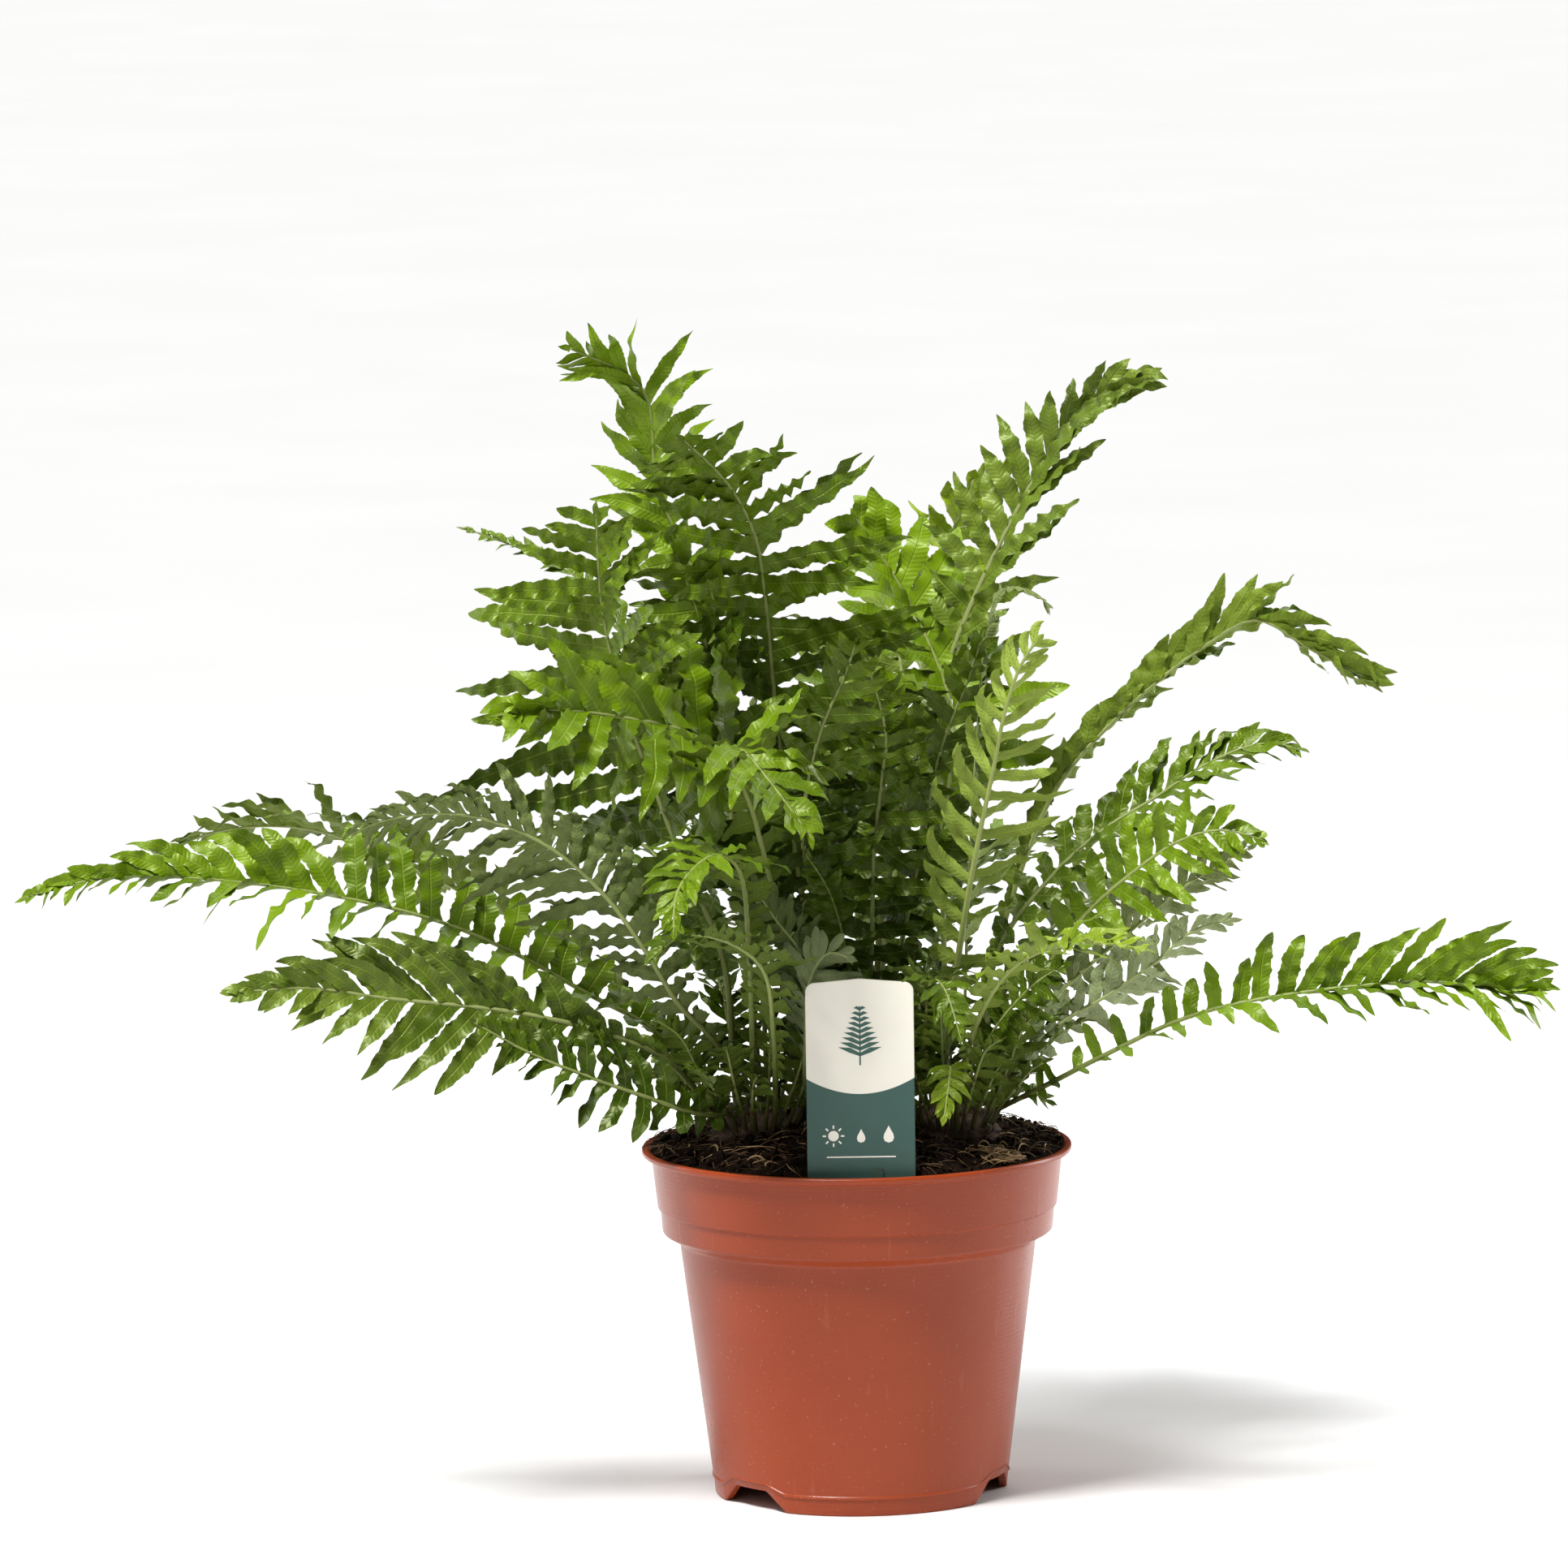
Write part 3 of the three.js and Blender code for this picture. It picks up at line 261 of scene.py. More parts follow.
# The drain holes: a ring of six through the floor.
drains = bmesh.new()
for i in range(DRAIN_HOLES):
    angle = (i + 0.5) * 2 * math.pi / DRAIN_HOLES
    spot = (DRAIN_RING * MM * math.cos(angle), DRAIN_RING * MM * math.sin(angle), DRAIN_MIDDLE * MM)
    bmesh.ops.create_cone(drains, cap_ends=True, segments=DRAIN_SIDES, radius1=DRAIN_RADIUS * MM,
                          radius2=DRAIN_RADIUS * MM, depth=DRAIN_DEPTH * MM, matrix=Matrix.Translation(spot))
drill = bpy.data.objects.new("drill", bpy.data.meshes.new("drill"))
drains.to_mesh(drill.data)
bpy.context.scene.collection.objects.link(drill)
cut = pot.modifiers.new("drain_holes", "BOOLEAN")
cut.object = drill
cut.operation = "DIFFERENCE"
cut.solver = "EXACT"
drilled = bpy.data.meshes.new_from_object(pot.evaluated_get(bpy.context.evaluated_depsgraph_get()))
pot.modifiers.clear()
pot.data = drilled
smooth_shade(pot, 38)
bpy.data.objects.remove(drill)
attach(pot, "root")
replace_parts(pot, "pot")


# The soil: moist dark peat with fine roots and bits of straw, filled to just under the lip and mounded up to
# the crowns. Its lower part is a plain block moulded by the pot, its top is loose crumbs and strands, and it
# is pressed down in front of the tag.
SOIL_BLOCK = [(0, 11.6), (63.4, 11.6), (76.4, 115.8), (83.6, 119.8), (88.2, 150.4)]
SOIL_EDGE = 154.6
SOIL_TOP = 164
SOIL_RADIUS = 91.2
SOIL_RINGS = 78
SOIL_SECTORS = 240
LOOSE_FROM = 148
CROWNS = {"left": (-44, -6), "middle": (0, 20), "right": (42, -12)}
TAG_CENTRE = (1.5, -82.5)
PRESSED_DEPTH = 7
PRESSED_HALF_WIDTH = 25
CRUMBS = 1900
CRUMB_REACH = 94
STRANDS = 760
STRAND_POINTS = 8
STRAW_NEST = (64, -56)
LIP_STRANDS = 90
LIP_STRAND_RADIUS = 84
LIP_STRAND_HEIGHT = 157
PEAT, ROOT, STRAW = range(3)


def pressed(x, y):
    """How far the soil is pressed down in front of the tag."""
    beside = np.exp(-((x - TAG_CENTRE[0]) / PRESSED_HALF_WIDTH) ** 6)
    return PRESSED_DEPTH * beside * np.clip((TAG_CENTRE[1] + 2 - y) / 2.5, 0, 1)


def soil_level(x, y):
    """The height of the loose surface."""
    share = np.minimum(1, np.hypot(x, y) / SOIL_RADIUS)
    return SOIL_TOP - (SOIL_TOP - SOIL_EDGE) * share ** 2.2 - pressed(x, y)


def rough(points, size, depth, octaves=4):
    """Unevenness for each point, with lumps of a size, the same each time."""
    return np.array([noise.fractal(Vector(p) / size, 0.8, 2.1, octaves) for p in points]) * depth


def any_angle(chance):
    """An angle anywhere round the circle, in radians."""
    return chance.uniform(0, 2 * math.pi)


def thread(path, thickness, sides=4):
    """Points and faces of a thin tapered thread along a path."""
    ahead = np.gradient(path, axis=0)
    ahead /= np.linalg.norm(ahead, axis=1)[:, None]
    across = np.cross(ahead, (0.3, 0.2, 0.93))
    across /= np.linalg.norm(across, axis=1)[:, None]
    over = np.cross(across, ahead)
    angles = np.arange(sides) * 2 * math.pi / sides
    width = np.asarray(thickness)[:, None, None]
    ring = across[:, None] * np.cos(angles)[:, None] + over[:, None] * np.sin(angles)[:, None]
    points = path[:, None] + ring * width
    index = np.arange(len(path) * sides).reshape(len(path), sides)
    turn = np.roll(index, -1, axis=1)
    return points.reshape(-1, 3), np.stack([index[:-1], turn[:-1], turn[1:], index[1:]], -1).reshape(-1, 4)


class Heap:
    """The parts of one piece as they are laid together, with the finish of each face."""

    def __init__(self):
        self.points, self.faces, self.finish, self.blade, self.tone, self.count = [], [], [], [], [], 0

    def add(self, points, *skins, blade=None, tone=None):
        """Lays on one part: its points, and pairs of a finish and the faces that have it."""
        for finish, faces in skins:
            self.faces.append(faces + self.count)
            self.finish.append(np.full(len(faces), finish))
        self.points.append(points)
        if blade is not None:
            self.blade.append(blade)
            self.tone.append(np.broadcast_to(tone, (len(points), 4)))
        self.count += len(points)

    def make(self, name, finishes, sharp_from, place=(0, 0, 0)):
        points = (np.concatenate(self.points) + place) * MM
        blade, tone = (np.concatenate(part) if part else None for part in (self.blade, self.tone))
        face_finish = np.concatenate(self.finish)
        return make_piece(name, points, self.faces, finishes, face_finish, blade, tone, sharp_from)


def peat():
    """Near-black moist peat with lighter drying crumbs and a few pale straws in it."""
    made = Finish("moist_peat", 0.9, specular=0.06)
    crumbs = made.speckle(420, 6, 0.7)
    patches = made.spread(made.speckle(55, 4), 0.4, 0.68)
    colour = made.blend(patches, (0.0030, 0.0014, 0.0008), (0.011, 0.0054, 0.0027))
    colour = made.blend(made.spread(crumbs, 0.5, 0.75), colour, (0.046, 0.020, 0.009))
    straws = made.spread(made.speckle(330, 2, 0.5, stretch=(1, 0.2, 1)), 0.68, 0.74)
    colour = made.blend(made.maths("MULTIPLY", straws, 0.5), colour, (0.23, 0.13, 0.06))
    normal = made.relief(made.speckle(1500, 3), 0.0003, made.relief(crumbs, 0.0011))
    return made.wear(colour, made.spread(crumbs, 0.3, 0.7, 0.95, 0.7), normal)


def fibre(name, dark, light):
    """Dry root or straw, lighter and darker along it."""
    made = Finish(name, 0.75, specular=0.3)
    colour = made.blend(made.spread(made.speckle(160, 3), 0.35, 0.65), dark, light)
    return made.wear(colour, None, made.relief(made.speckle(2200, 2), 0.0001))


# The body of the soil, with its loose top roughened.
chance = np.random.default_rng(11)
rings = np.linspace(SOIL_RADIUS, 0.5, SOIL_RINGS)
top = np.stack([rings, soil_level(rings, 0)], -1)
points, quads = turned_grid(np.concatenate([np.array(SOIL_BLOCK, float), top]), SOIL_SECTORS)
flat = points.reshape(-1, 3)
loose = flat[:, 2] > LOOSE_FROM
lumps = rough(flat[loose], 9, 1.5) + rough(flat[loose], 2.6, 0.8, 3)
fade = np.clip((SOIL_RADIUS - np.hypot(flat[loose, 0], flat[loose, 1])) / 4, 0, 1)
down = pressed(flat[loose, 0], flat[loose, 1])
flat[loose, 2] += np.clip(1.5 * lumps * (0.25 + 0.75 * fade), -3, 5) - down
flat[loose, :2] *= 1 - 0.006 * down[:, None]
mound = Heap()
mound.add(flat, (PEAT, quads))

# Loose crumbs, each ninth a larger lump.
gem = bmesh.new()
bmesh.ops.create_icosphere(gem, subdivisions=1, radius=1)
gem_points = np.array([v.co for v in gem.verts])
gem_faces = np.array([[v.index for v in f.verts] for f in gem.faces])
gem.free()
for i in range(CRUMBS):
    radius = SOIL_RADIUS * math.sqrt(chance.uniform(0, 0.99))
    angle = any_angle(chance)
    size = chance.uniform(0.5, 1.5) if i % 9 else min(chance.uniform(1.6, 4), 0.5 * (CRUMB_REACH - radius))
    x, y = radius * math.cos(angle), radius * math.sin(angle)
    down = pressed(x, y)
    x, y = x * (1 - 0.015 * down), y * (1 - 0.015 * down)
    squash = chance.uniform(0.55, 1.25, 3) * size
    lump = gem_points * squash * chance.uniform(0.65, 1.25, (len(gem_points), 1))
    spin = np.array(Matrix.Rotation(chance.uniform(0, 6), 3, Vector(chance.normal(size=3))))
    mound.add(lump @ spin + (x, y, soil_level(x, y) + chance.uniform(0.1, 1.6)), (PEAT, gem_faces))

# Roots and straws strewn over the top, more straw in one nest at the right, and a few against the lip.
share = np.linspace(-0.5, 0.5, STRAND_POINTS)
for i in range(STRANDS):
    radius = SOIL_RADIUS * math.sqrt(chance.uniform(0, 0.95))
    angle = any_angle(chance)
    x, y = radius * math.cos(angle), radius * math.sin(angle)
    straw = i % 7 == 0
    if i % 12 == 0:
        x, y, straw = STRAW_NEST[0] + chance.normal(0, 7), STRAW_NEST[1] + chance.normal(0, 5), True
    heading = any_angle(chance)
    length = chance.uniform(5, 22)
    course = heading + chance.uniform(-1.6, 1.6) * share
    steps = STRAND_POINTS - 1
    x = x + np.cumsum(np.cos(course)) * length / steps - length / 2 * math.cos(heading)
    y = y + np.cumsum(np.sin(course)) * length / steps - length / 2 * math.sin(heading)
    away = np.maximum(1, np.hypot(x, y) / (SOIL_RADIUS - 1))
    x, y = x / away, y / away
    down = pressed(x, y)
    x, y = x * (1 - 0.012 * down), y * (1 - 0.012 * down)
    arch = chance.uniform(0, 2.6) * np.cos(share * 3)
    height = soil_level(x, y) + 1.2 + arch + chance.uniform(-2.4, 2.4) * share
    thick = chance.uniform(0.12, 0.3) * (1.7 if straw else 1) * (1 - 1.3 * np.abs(share))
    line, sides = thread(np.stack([x, y, height], -1), thick)
    mound.add(line, (STRAW if straw else ROOT, sides))
share = np.linspace(0, 1, STRAND_POINTS)
for i in range(LIP_STRANDS):
    angle = chance.normal(2.9, 0.5) if i % 3 else any_angle(chance)
    angle = angle + chance.uniform(-0.09, 0.09) * share + chance.uniform(-0.04, 0.04) * share ** 2
    radius = LIP_STRAND_RADIUS + chance.uniform(5, 11.5) * share
    height = LIP_STRAND_HEIGHT - 1.6 * share + chance.uniform(0.2, 1.8) * np.sin(3 * share)
    thick = chance.uniform(0.12, 0.3) * (1 - 0.6 * share)
    line, sides = thread(np.stack([radius * np.cos(angle), radius * np.sin(angle), height], -1), thick)
    mound.add(line, (ROOT if i % 5 else STRAW, sides))
soil_finishes = [peat(), fibre("root_fibre", (0.022, 0.011, 0.005), (0.13, 0.072, 0.032)),
                 fibre("straw_fibre", (0.16, 0.092, 0.04), (0.42, 0.28, 0.13))]
soil = mound.make("loose_soil", soil_finishes, 50)
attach(soil, "root")
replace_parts(soil, "soil")


# The crowns: three short rootstocks, half sunk in the soil, that the fronds grow from. Each is a blunt mound
# of old stalk bases, cut or rotted short, and is covered in narrow brown scales that lie upwards.
CROWN_RADIUS = 22
CROWN_LEVEL = 161
CROWN_RISE = 13
CROWN_RINGS = [0.5, 4, 8, 12, 15.5, 18.5, 20.8, 22]
CROWN_SKIRT = [(22.2, 157), (21, 151), (18, 145)]
CROWN_SECTORS = 48
CROWN_ROUGH_FROM = 158
OLD_STALKS = 11
CROWN_SCALES = 210
BARK, SCALE, OLD_STALK = range(3)
ONE_FACE = np.array([[0, 1, 2, 3]])


def unit(v):
    return v / np.linalg.norm(v, axis=-1, keepdims=True)


def spoke_at(angle):
    """A level direction of length 1."""
    return np.array([math.cos(angle), math.sin(angle), 0])


def crown_level(radius):
    """The height of a crown's top at a distance from its middle."""
    return CROWN_LEVEL + CROWN_RISE * (1 - (radius / CROWN_RADIUS) ** 2)


def rootstock():
    """Dark bark of the rootstock, with its grain upright."""
    made = Finish("rootstock_bark", 0.8, specular=0.3)
    grain = made.speckle(260, 5, 0.65, stretch=(1, 1, 0.35))
    colour = made.blend(made.spread(grain, 0.35, 0.7), (0.018, 0.01, 0.006), (0.08, 0.045, 0.022))
    return made.wear(colour, None, made.relief(grain, 0.0008))


def brown_scale():
    """The papery brown of the scales."""
    made = Finish("brown_scale", 0.6, specular=0.4)
    patches = made.spread(made.speckle(330, 3), 0.35, 0.65)
    colour = made.blend(patches, (0.035, 0.016, 0.007), (0.16, 0.085, 0.035))
    return made.wear(colour, None, made.relief(made.speckle(1800, 2, stretch=(1, 1, 0.2)), 0.0002))


def cut_stalk():
    """The dull grey-brown of old stalks that were cut or rotted short."""
    made = Finish("old_stalk", 0.7, specular=0.4)
    patches = made.spread(made.speckle(240, 4), 0.35, 0.7)
    colour = made.blend(patches, (0.03, 0.018, 0.008), (0.09, 0.07, 0.028))
    return made.wear(colour, None, made.relief(made.speckle(900, 3, stretch=(1, 1, 0.15)), 0.0003))


def scale_leaf(foot, ahead, across, length, width):
    """One papery scale: four points of a narrow blade that leans ahead."""
    tip = foot + ahead * length
    half = across * width / 2
    end = across * 0.08 * width
    return np.array([foot - half, foot + half, tip + end, tip - end])


# Each crown is a rough dome with a skirt down into the soil, stubs of old stalks and a coat of scales.
crown_finishes = [rootstock(), brown_scale(), cut_stalk()]
for crown, (cx, cy) in CROWNS.items():
    stump = Heap()
    dome = [(radius, crown_level(radius)) for radius in CROWN_RINGS]
    points, quads = turned_grid(np.array((dome + CROWN_SKIRT)[::-1]), CROWN_SECTORS)
    flat = points.reshape(-1, 3)
    flat[:, 2] += rough(flat + (cx, cy, 0), 7, 1.6) * (flat[:, 2] > CROWN_ROUGH_FROM)
    stump.add(flat, (BARK, quads))
    for i in range(OLD_STALKS):
        angle = any_angle(chance)
        radius = chance.uniform(3, 19.5)
        out = spoke_at(angle)
        foot = out * radius + (0, 0, crown_level(radius) - 3)
        lean = unit(np.array([0, 0, 1]) + out * radius * 0.035 + chance.normal(0, 0.12, 3))
        reach = np.array([0, 2, 3.5, chance.uniform(4.2, 7)])
        thick = chance.uniform(1.3, 2.1) * np.array([1.25, 1.1, 1, 0.9])
        stub, sides = thread(foot + lean * reach[:, None], thick, 8)
        cap = np.array([[0, 1, 2, 3], [0, 3, 4, 7], [4, 5, 6, 7]]) + len(stub) - 8
        stump.add(stub, (OLD_STALK, np.concatenate([sides, cap])))
    for i in range(CROWN_SCALES):
        angle = any_angle(chance)
        radius = CROWN_RADIUS * math.sqrt(chance.uniform(0.02, 1))
        out = spoke_at(angle)
        foot = out * radius + (0, 0, crown_level(radius) - 0.2)
        ahead = unit(np.array([0, 0, 1]) + out * chance.uniform(0.1, 1.1) + chance.normal(0, 0.25, 3))
        across = unit(np.cross(ahead, out + chance.normal(0, 0.2, 3)))
        scale = scale_leaf(foot, ahead, across, chance.uniform(2, 5), chance.uniform(0.7, 1.4))
        stump.add(scale, (SCALE, ONE_FACE))
    stock = stump.make(f"rootstock_{crown}", crown_finishes, 50, place=(cx, cy, 0))
    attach(stock, "root")
    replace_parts(stock, f"crown_{crown}")


# The fronds: each grows as one piece, a grooved stalk that stands in its crown, a pale rib, and pairs of long
# waxy leaflets joined to the rib by their whole foot, with waved edges and drawn-out tips. Those at the foot
# are small lobes, the underside is paler and greyer, and the stalk's foot carries brown scales.
RINGS = {"inner": (8.5, 10), "outer": (17.5, 30)}  # where stalks stand in a crown: radius, and outward lean
HABIT = dict(
    closer=0.55,  # share of the leaflets' pitch that is lost towards the tip
    fill=0.86, slim=0.3,  # a leaflet's width by its pitch, and its half width by its length at the most
    full=0.4, peak=0.5,  # where along the leaf leaflets reach full length, and where they start to shorten
    narrows=0.92, rounded=1.2,  # how much they shorten to the tip, and how late
    lean=(78, 38),  # angle between leaflet and rib, at the foot and at the tip of the leaf
    lift=8, arch=0.06, droop=0.14,  # how a leaflet rises from the leaf, arches and hangs
    hook=0.35,  # how far it bends ahead
    twist=0.22, blind=0.1,  # how it twists at random, and like the slat of a blind
    crisp=1.6, wave=10, scallop=0.11,  # height and length of the edges' waves, and their lobes
    fold=0.16, blunt=0.15,  # how it folds up along its vein, and how round its end is
    low=0,  # the hand that hangs below the rib: 1 is the right one, -1 the left, 0 neither
    under=1, limp=0,  # how short leaflets are on that hand, and how slack
    step=1.2,  # length of one step of the mesh
)
TIP_LOOK = dict(hook=0.2, arch=0, droop=0.1, twist=0.2, blind=0, crisp=0.3, wave=8, fold=0.1, scallop=0,
                blunt=0, share=1, step=1.2)

# A row's path is the rib's line from the crown to the tip, and side points to the right hand of the leaf.
# Stand is its crown, its ring of stalks and its compass angle there. Longest is the longest leaflet, and
# pitch the distance between leaflets. Bare is the share of the rib below them, and lobes the share below
# the first lobe on the stalk. Thick is about half the stalk's width, right_lean the lean on the right hand
# where that differs, coil a furled tip's turns and radius, and finish a green other than the leaf's own,
# here a grey whose pale underside is painted lighter still, as painted light.
FRONDS = [
    dict(name="left_broad", leaf="green", stand=("left", "inner", 200), longest=88, side=(0.9, -0.4, 0.1),
         bare=0.3, thick=1.7, pitch=14.5, closer=0.6, fill=0.95, full=0.45, peak=0.3, narrows=0.9,
         rounded=2.2, lobes=0.2, lean=(98, 60), right_lean=(58, 38), hook=0.2, crisp=1.8, wave=8,
         scallop=0.15, blunt=0.5, low=1, under=0.8,
         path=[(-58, -18, 242), (-74, -26, 284), (-87, -32, 320), (-99, -38, 357), (-108, -44, 400),
               (-110, -56, 452)]),
    dict(name="top_dark", leaf="dark", stand=("middle", "inner", 240), longest=74, side=(1, 0.1, 0.05),
         bare=0.26, thick=1.8, pitch=12.5, closer=0.5, fill=1, full=0.2, narrows=0.86, rounded=2,
         lobes=0.15, lean=(84, 44), right_lean=(84, 72), hook=0.15, twist=0.32, crisp=2, scallop=0.14,
         path=[(-20, 2, 250), (-32, -6, 338), (-37, -15, 400), (-41, -24, 428), (-52, -36, 452),
               (-78, -52, 480)]),
    dict(name="left_tall", leaf="bright", stand=("left", "inner", 80), longest=48, side=(0.45, -0.4, 0.8),
         bare=0.45, thick=1.8, pitch=12.5, closer=0.55, fill=0.8, peak=0.72, narrows=0.92, lobes=0.15,
         lean=(38, 26), right_lean=(52, 46), hook=-0.1, twist=0.55, crisp=1.3, wave=16, scallop=0.08,
         blunt=0, low=-1, under=0.85,
         path=[(-52, 18, 290), (-58, 28, 338), (-65, 32, 396), (-84, 34, 445), (-90, 32, 488),
               (-132, 22, 512)]),
    dict(name="right_tall", leaf="grey", stand=("middle", "inner", 10), longest=56,
         side=(0.9, -0.42, -0.15), bare=0.5, thick=1.8, pitch=12.5, closer=0.3, fill=0.74, full=0.3,
         peak=0.55, narrows=0.88, lobes=0.3, lean=(60, 10), right_lean=(32, 8), hook=0.05, twist=0.35,
         crisp=1.5, wave=11, scallop=0.11, low=-1, under=0.75,
         path=[(12, 26, 248), (24, 30, 300), (45, 35, 368), (71, 38, 424), (99, 38, 470), (121, 35, 487),
               (145, 30, 496)]),
    dict(name="front_upright", leaf="pale", stand=("right", "inner", 240), longest=42,
         side=(-1, -0.1, 0.15), bare=0.2, thick=2, pitch=11, closer=0.4, fill=0.56, narrows=0.8, lobes=0.08,
         lean=(98, 62), right_lean=(74, 46), hook=1.2, arch=0.2, twist=0.3, crisp=1.5, wave=12,
         scallop=0.07,
         path=[(45, -45, 243), (52, -62, 287), (60, -72, 326), (68, -80, 363), (76, -84, 382),
               (86, -86, 394)]),
    dict(name="left_far", leaf="bright", stand=("left", "outer", 178), longest=44, side=(0.1, 0.78, 0.62),
         bare=0.12, pitch=13.5, fill=0.86, peak=0.6, lean=(64, 28), right_lean=(92, 8), lift=24, hook=0.1,
         droop=0.22, crisp=1.2, wave=12, scallop=0.14, blunt=0.75, low=-1, under=0.75, limp=0.4,
         path=[(-87, -18, 208), (-117, -24, 227), (-152, -30, 248), (-188, -36, 264), (-259, -48, 281),
               (-327, -58, 286), (-371, -64, 276)]),
    dict(name="right_far", leaf="bright", stand=("right", "outer", 345), longest=45,
         side=(-0.1, -0.66, -0.75), bare=0.12, pitch=12, fill=0.86, slim=0.1, full=0.75, peak=0.8,
         narrows=0.8, lean=(86, 26), right_lean=(52, 18), lift=30, hook=0.1, crisp=1.5, scallop=0.1,
         blunt=0.6, low=1, under=0.84, limp=0.15,
         path=[(84, -30, 185), (107, -38, 198), (143, -48, 216), (179, -56, 226), (251, -68, 234),
               (284, -73, 230), (305, -76, 229)]),
    dict(name="left_fan", leaf="grey", stand=("left", "outer", 208), longest=62, side=(0.05, 0.35, 0.93),
         bare=0.33, pitch=13, fill=0.8, full=0.2, peak=0.25, lean=(52, 32), crisp=1.1, scallop=0.08, low=-1,
         under=0.76,
         path=[(-84, -38, 200), (-112, -48, 214), (-150, -60, 225), (-204, -74, 234), (-238, -82, 240),
               (-279, -90, 239)]),
    dict(name="left_grey", leaf="grey", stand=("left", "inner", 250), longest=46, side=(-0.7, 0.4, -0.6),
         bare=0.16, thick=1.6, pitch=9, fill=0.8, lean=(66, 46), droop=0.3, crisp=2.1, wave=8, scallop=0.15,
         blunt=0.3,
         path=[(-62, -33, 207), (-77, -40, 224), (-92, -46, 250), (-110, -52, 276), (-134, -57, 298),
               (-168, -61, 312), (-202, -63, 311), (-226, -64, 301)]),
    dict(name="left_low_dark", leaf="dark", stand=("left", "outer", 240), longest=34, side=(0.2, 0.55, 0.8),
         bare=0.1, pitch=11, fill=0.86, lobes=0.06, lean=(78, 46), hook=0.5, twist=0.3, crisp=2, wave=10,
         scallop=0.15, blunt=0.8, low=-1, under=0.56, limp=0.5,
         path=[(-72, -50, 178), (-92, -62, 187), (-117, -72, 198), (-142, -80, 210), (-170, -86, 227)]),
    dict(name="front_left_bright", leaf="bright", stand=("left", "inner", 300), longest=56,
         side=(0.1, 0.7, 0.7), bare=0.5, pitch=16, closer=0.5, fill=0.95, full=0.1, lean=(84, 26),
         right_lean=(50, 16), hook=0.2, crisp=1.5, wave=12, scallop=0.09,
         path=[(-41, -28, 250), (-46, -42, 316), (-66, -62, 344), (-102, -90, 358), (-136, -112, 364),
               (-162, -128, 362)]),
    dict(name="front_drooping", leaf="bright", stand=("middle", "inner", 190), longest=46,
         side=(-0.8, -0.55, 0), bare=0.5, pitch=14, fill=0.9, full=0.3, lobes=0.25, twist=0.3, crisp=1.4,
         scallop=0.09, blunt=0.2,
         path=[(-28, -24, 240), (-44, -60, 312), (-52, -80, 336), (-48, -100, 344), (-34, -120, 330),
               (-14, -138, 304)]),
    dict(name="right_arching", leaf="bright", stand=("right", "inner", 45), longest=33,
         side=(-0.35, -0.6, 0.7), bare=0.3, thick=1.7, pitch=8.5, closer=0.25, fill=1, full=0.5, peak=0.85,
         narrows=0.75, lean=(28, 16), lift=25, hook=0.1, droop=0.06, twist=0.3, crisp=1.8, blunt=0.3,
         path=[(64, 26, 240), (90, 42, 305), (119, 52, 337), (158, 60, 367), (181, 63, 378), (206, 65, 364),
               (241, 68, 345)]),
    dict(name="right_upper", leaf="green", stand=("right", "inner", 355), longest=38,
         side=(0.3, -0.8, -0.5), bare=0.3, pitch=11, fill=0.8, lean=(66, 30), twist=0.35, crisp=1.6,
         blunt=0.3,
         path=[(64, 0, 241), (86, 8, 270), (110, 14, 291), (134, 18, 305), (158, 20, 320), (183, 22, 328),
               (206, 18, 323)]),
    dict(name="right_bright", leaf="bright", stand=("right", "outer", 322), longest=32,
         side=(0.4, -0.5, -0.75), bare=0.35, pitch=11, fill=0.8, twist=0.3, crisp=1.6, blunt=0.6,
         path=[(77, -34, 225), (100, -45, 261), (121, -52, 281), (142, -58, 296), (160, -62, 301),
               (184, -66, 295)]),
    dict(name="right_grey_upper", leaf="grey", stand=("right", "outer", 55), longest=32,
         side=(-0.3, -0.65, 0.7), bare=0.25,
         path=[(70, 32, 196), (101, 52, 222), (126, 62, 241), (147, 69, 257), (170, 75, 270),
               (185, 79, 277)]),
    dict(name="right_grey_lower", leaf="grey", stand=("right", "outer", 29), longest=28,
         # Its underside is painted paler, as painted light falling on it from the front.
         side=(-0.4, -0.6, 0.7), bare=0.12, full=0.6, blunt=0.5, finish="grey_painted_lit",
         path=[(72, 0, 188), (91, 3, 207), (112, 6, 219), (133, 8, 233), (151, 10, 247), (174, 12, 252)]),
    dict(name="centre_dark", leaf="dark", stand=("middle", "inner", 300), longest=44, side=(1, 0.1, 0.1),
         bare=0.14, thick=1.7, pitch=12, fill=0.72, lobes=0.06, lean=(86, 55), hook=0.5, crisp=2,
         path=[(6, -2, 215), (8, -14, 252), (9, -22, 286), (13, -29, 322), (15, -33, 341), (4, -42, 384)]),
    dict(name="right_of_centre", leaf="bright", stand=("right", "inner", 155), longest=54,
         side=(0.85, 0.45, 0.1), bare=0.45, pitch=15, closer=0.4, fill=0.95, full=0.2, narrows=0.75,
         lobes=0.2, twist=0.35, crisp=1.3, wave=15, scallop=0.07, blunt=0.5,
         path=[(26, 0, 241), (34, 5, 272), (45, 24, 340), (31, 40, 382), (14, 46, 412), (-2, 44, 436)]),
    dict(name="right_pale", leaf="pale", stand=("right", "inner", 100), longest=36, side=(0.8, 0.6, -0.1),
         bare=0.45, pitch=12, fill=0.95, lobes=0.2, twist=0.3, crisp=1.6, blunt=0.4,
         path=[(40, 40, 260), (40, 66, 350), (42, 78, 404), (58, 82, 437), (80, 80, 456)]),
    dict(name="left_back", leaf="green", stand=("left", "outer", 138), longest=48, side=(0.1, 0.8, -0.5),
         bare=0.25, fill=0.95,
         path=[(-88, 38, 205), (-127, 56, 236), (-165, 68, 255), (-218, 82, 280), (-252, 88, 288),
               (-290, 94, 284), (-315, 98, 270)]),
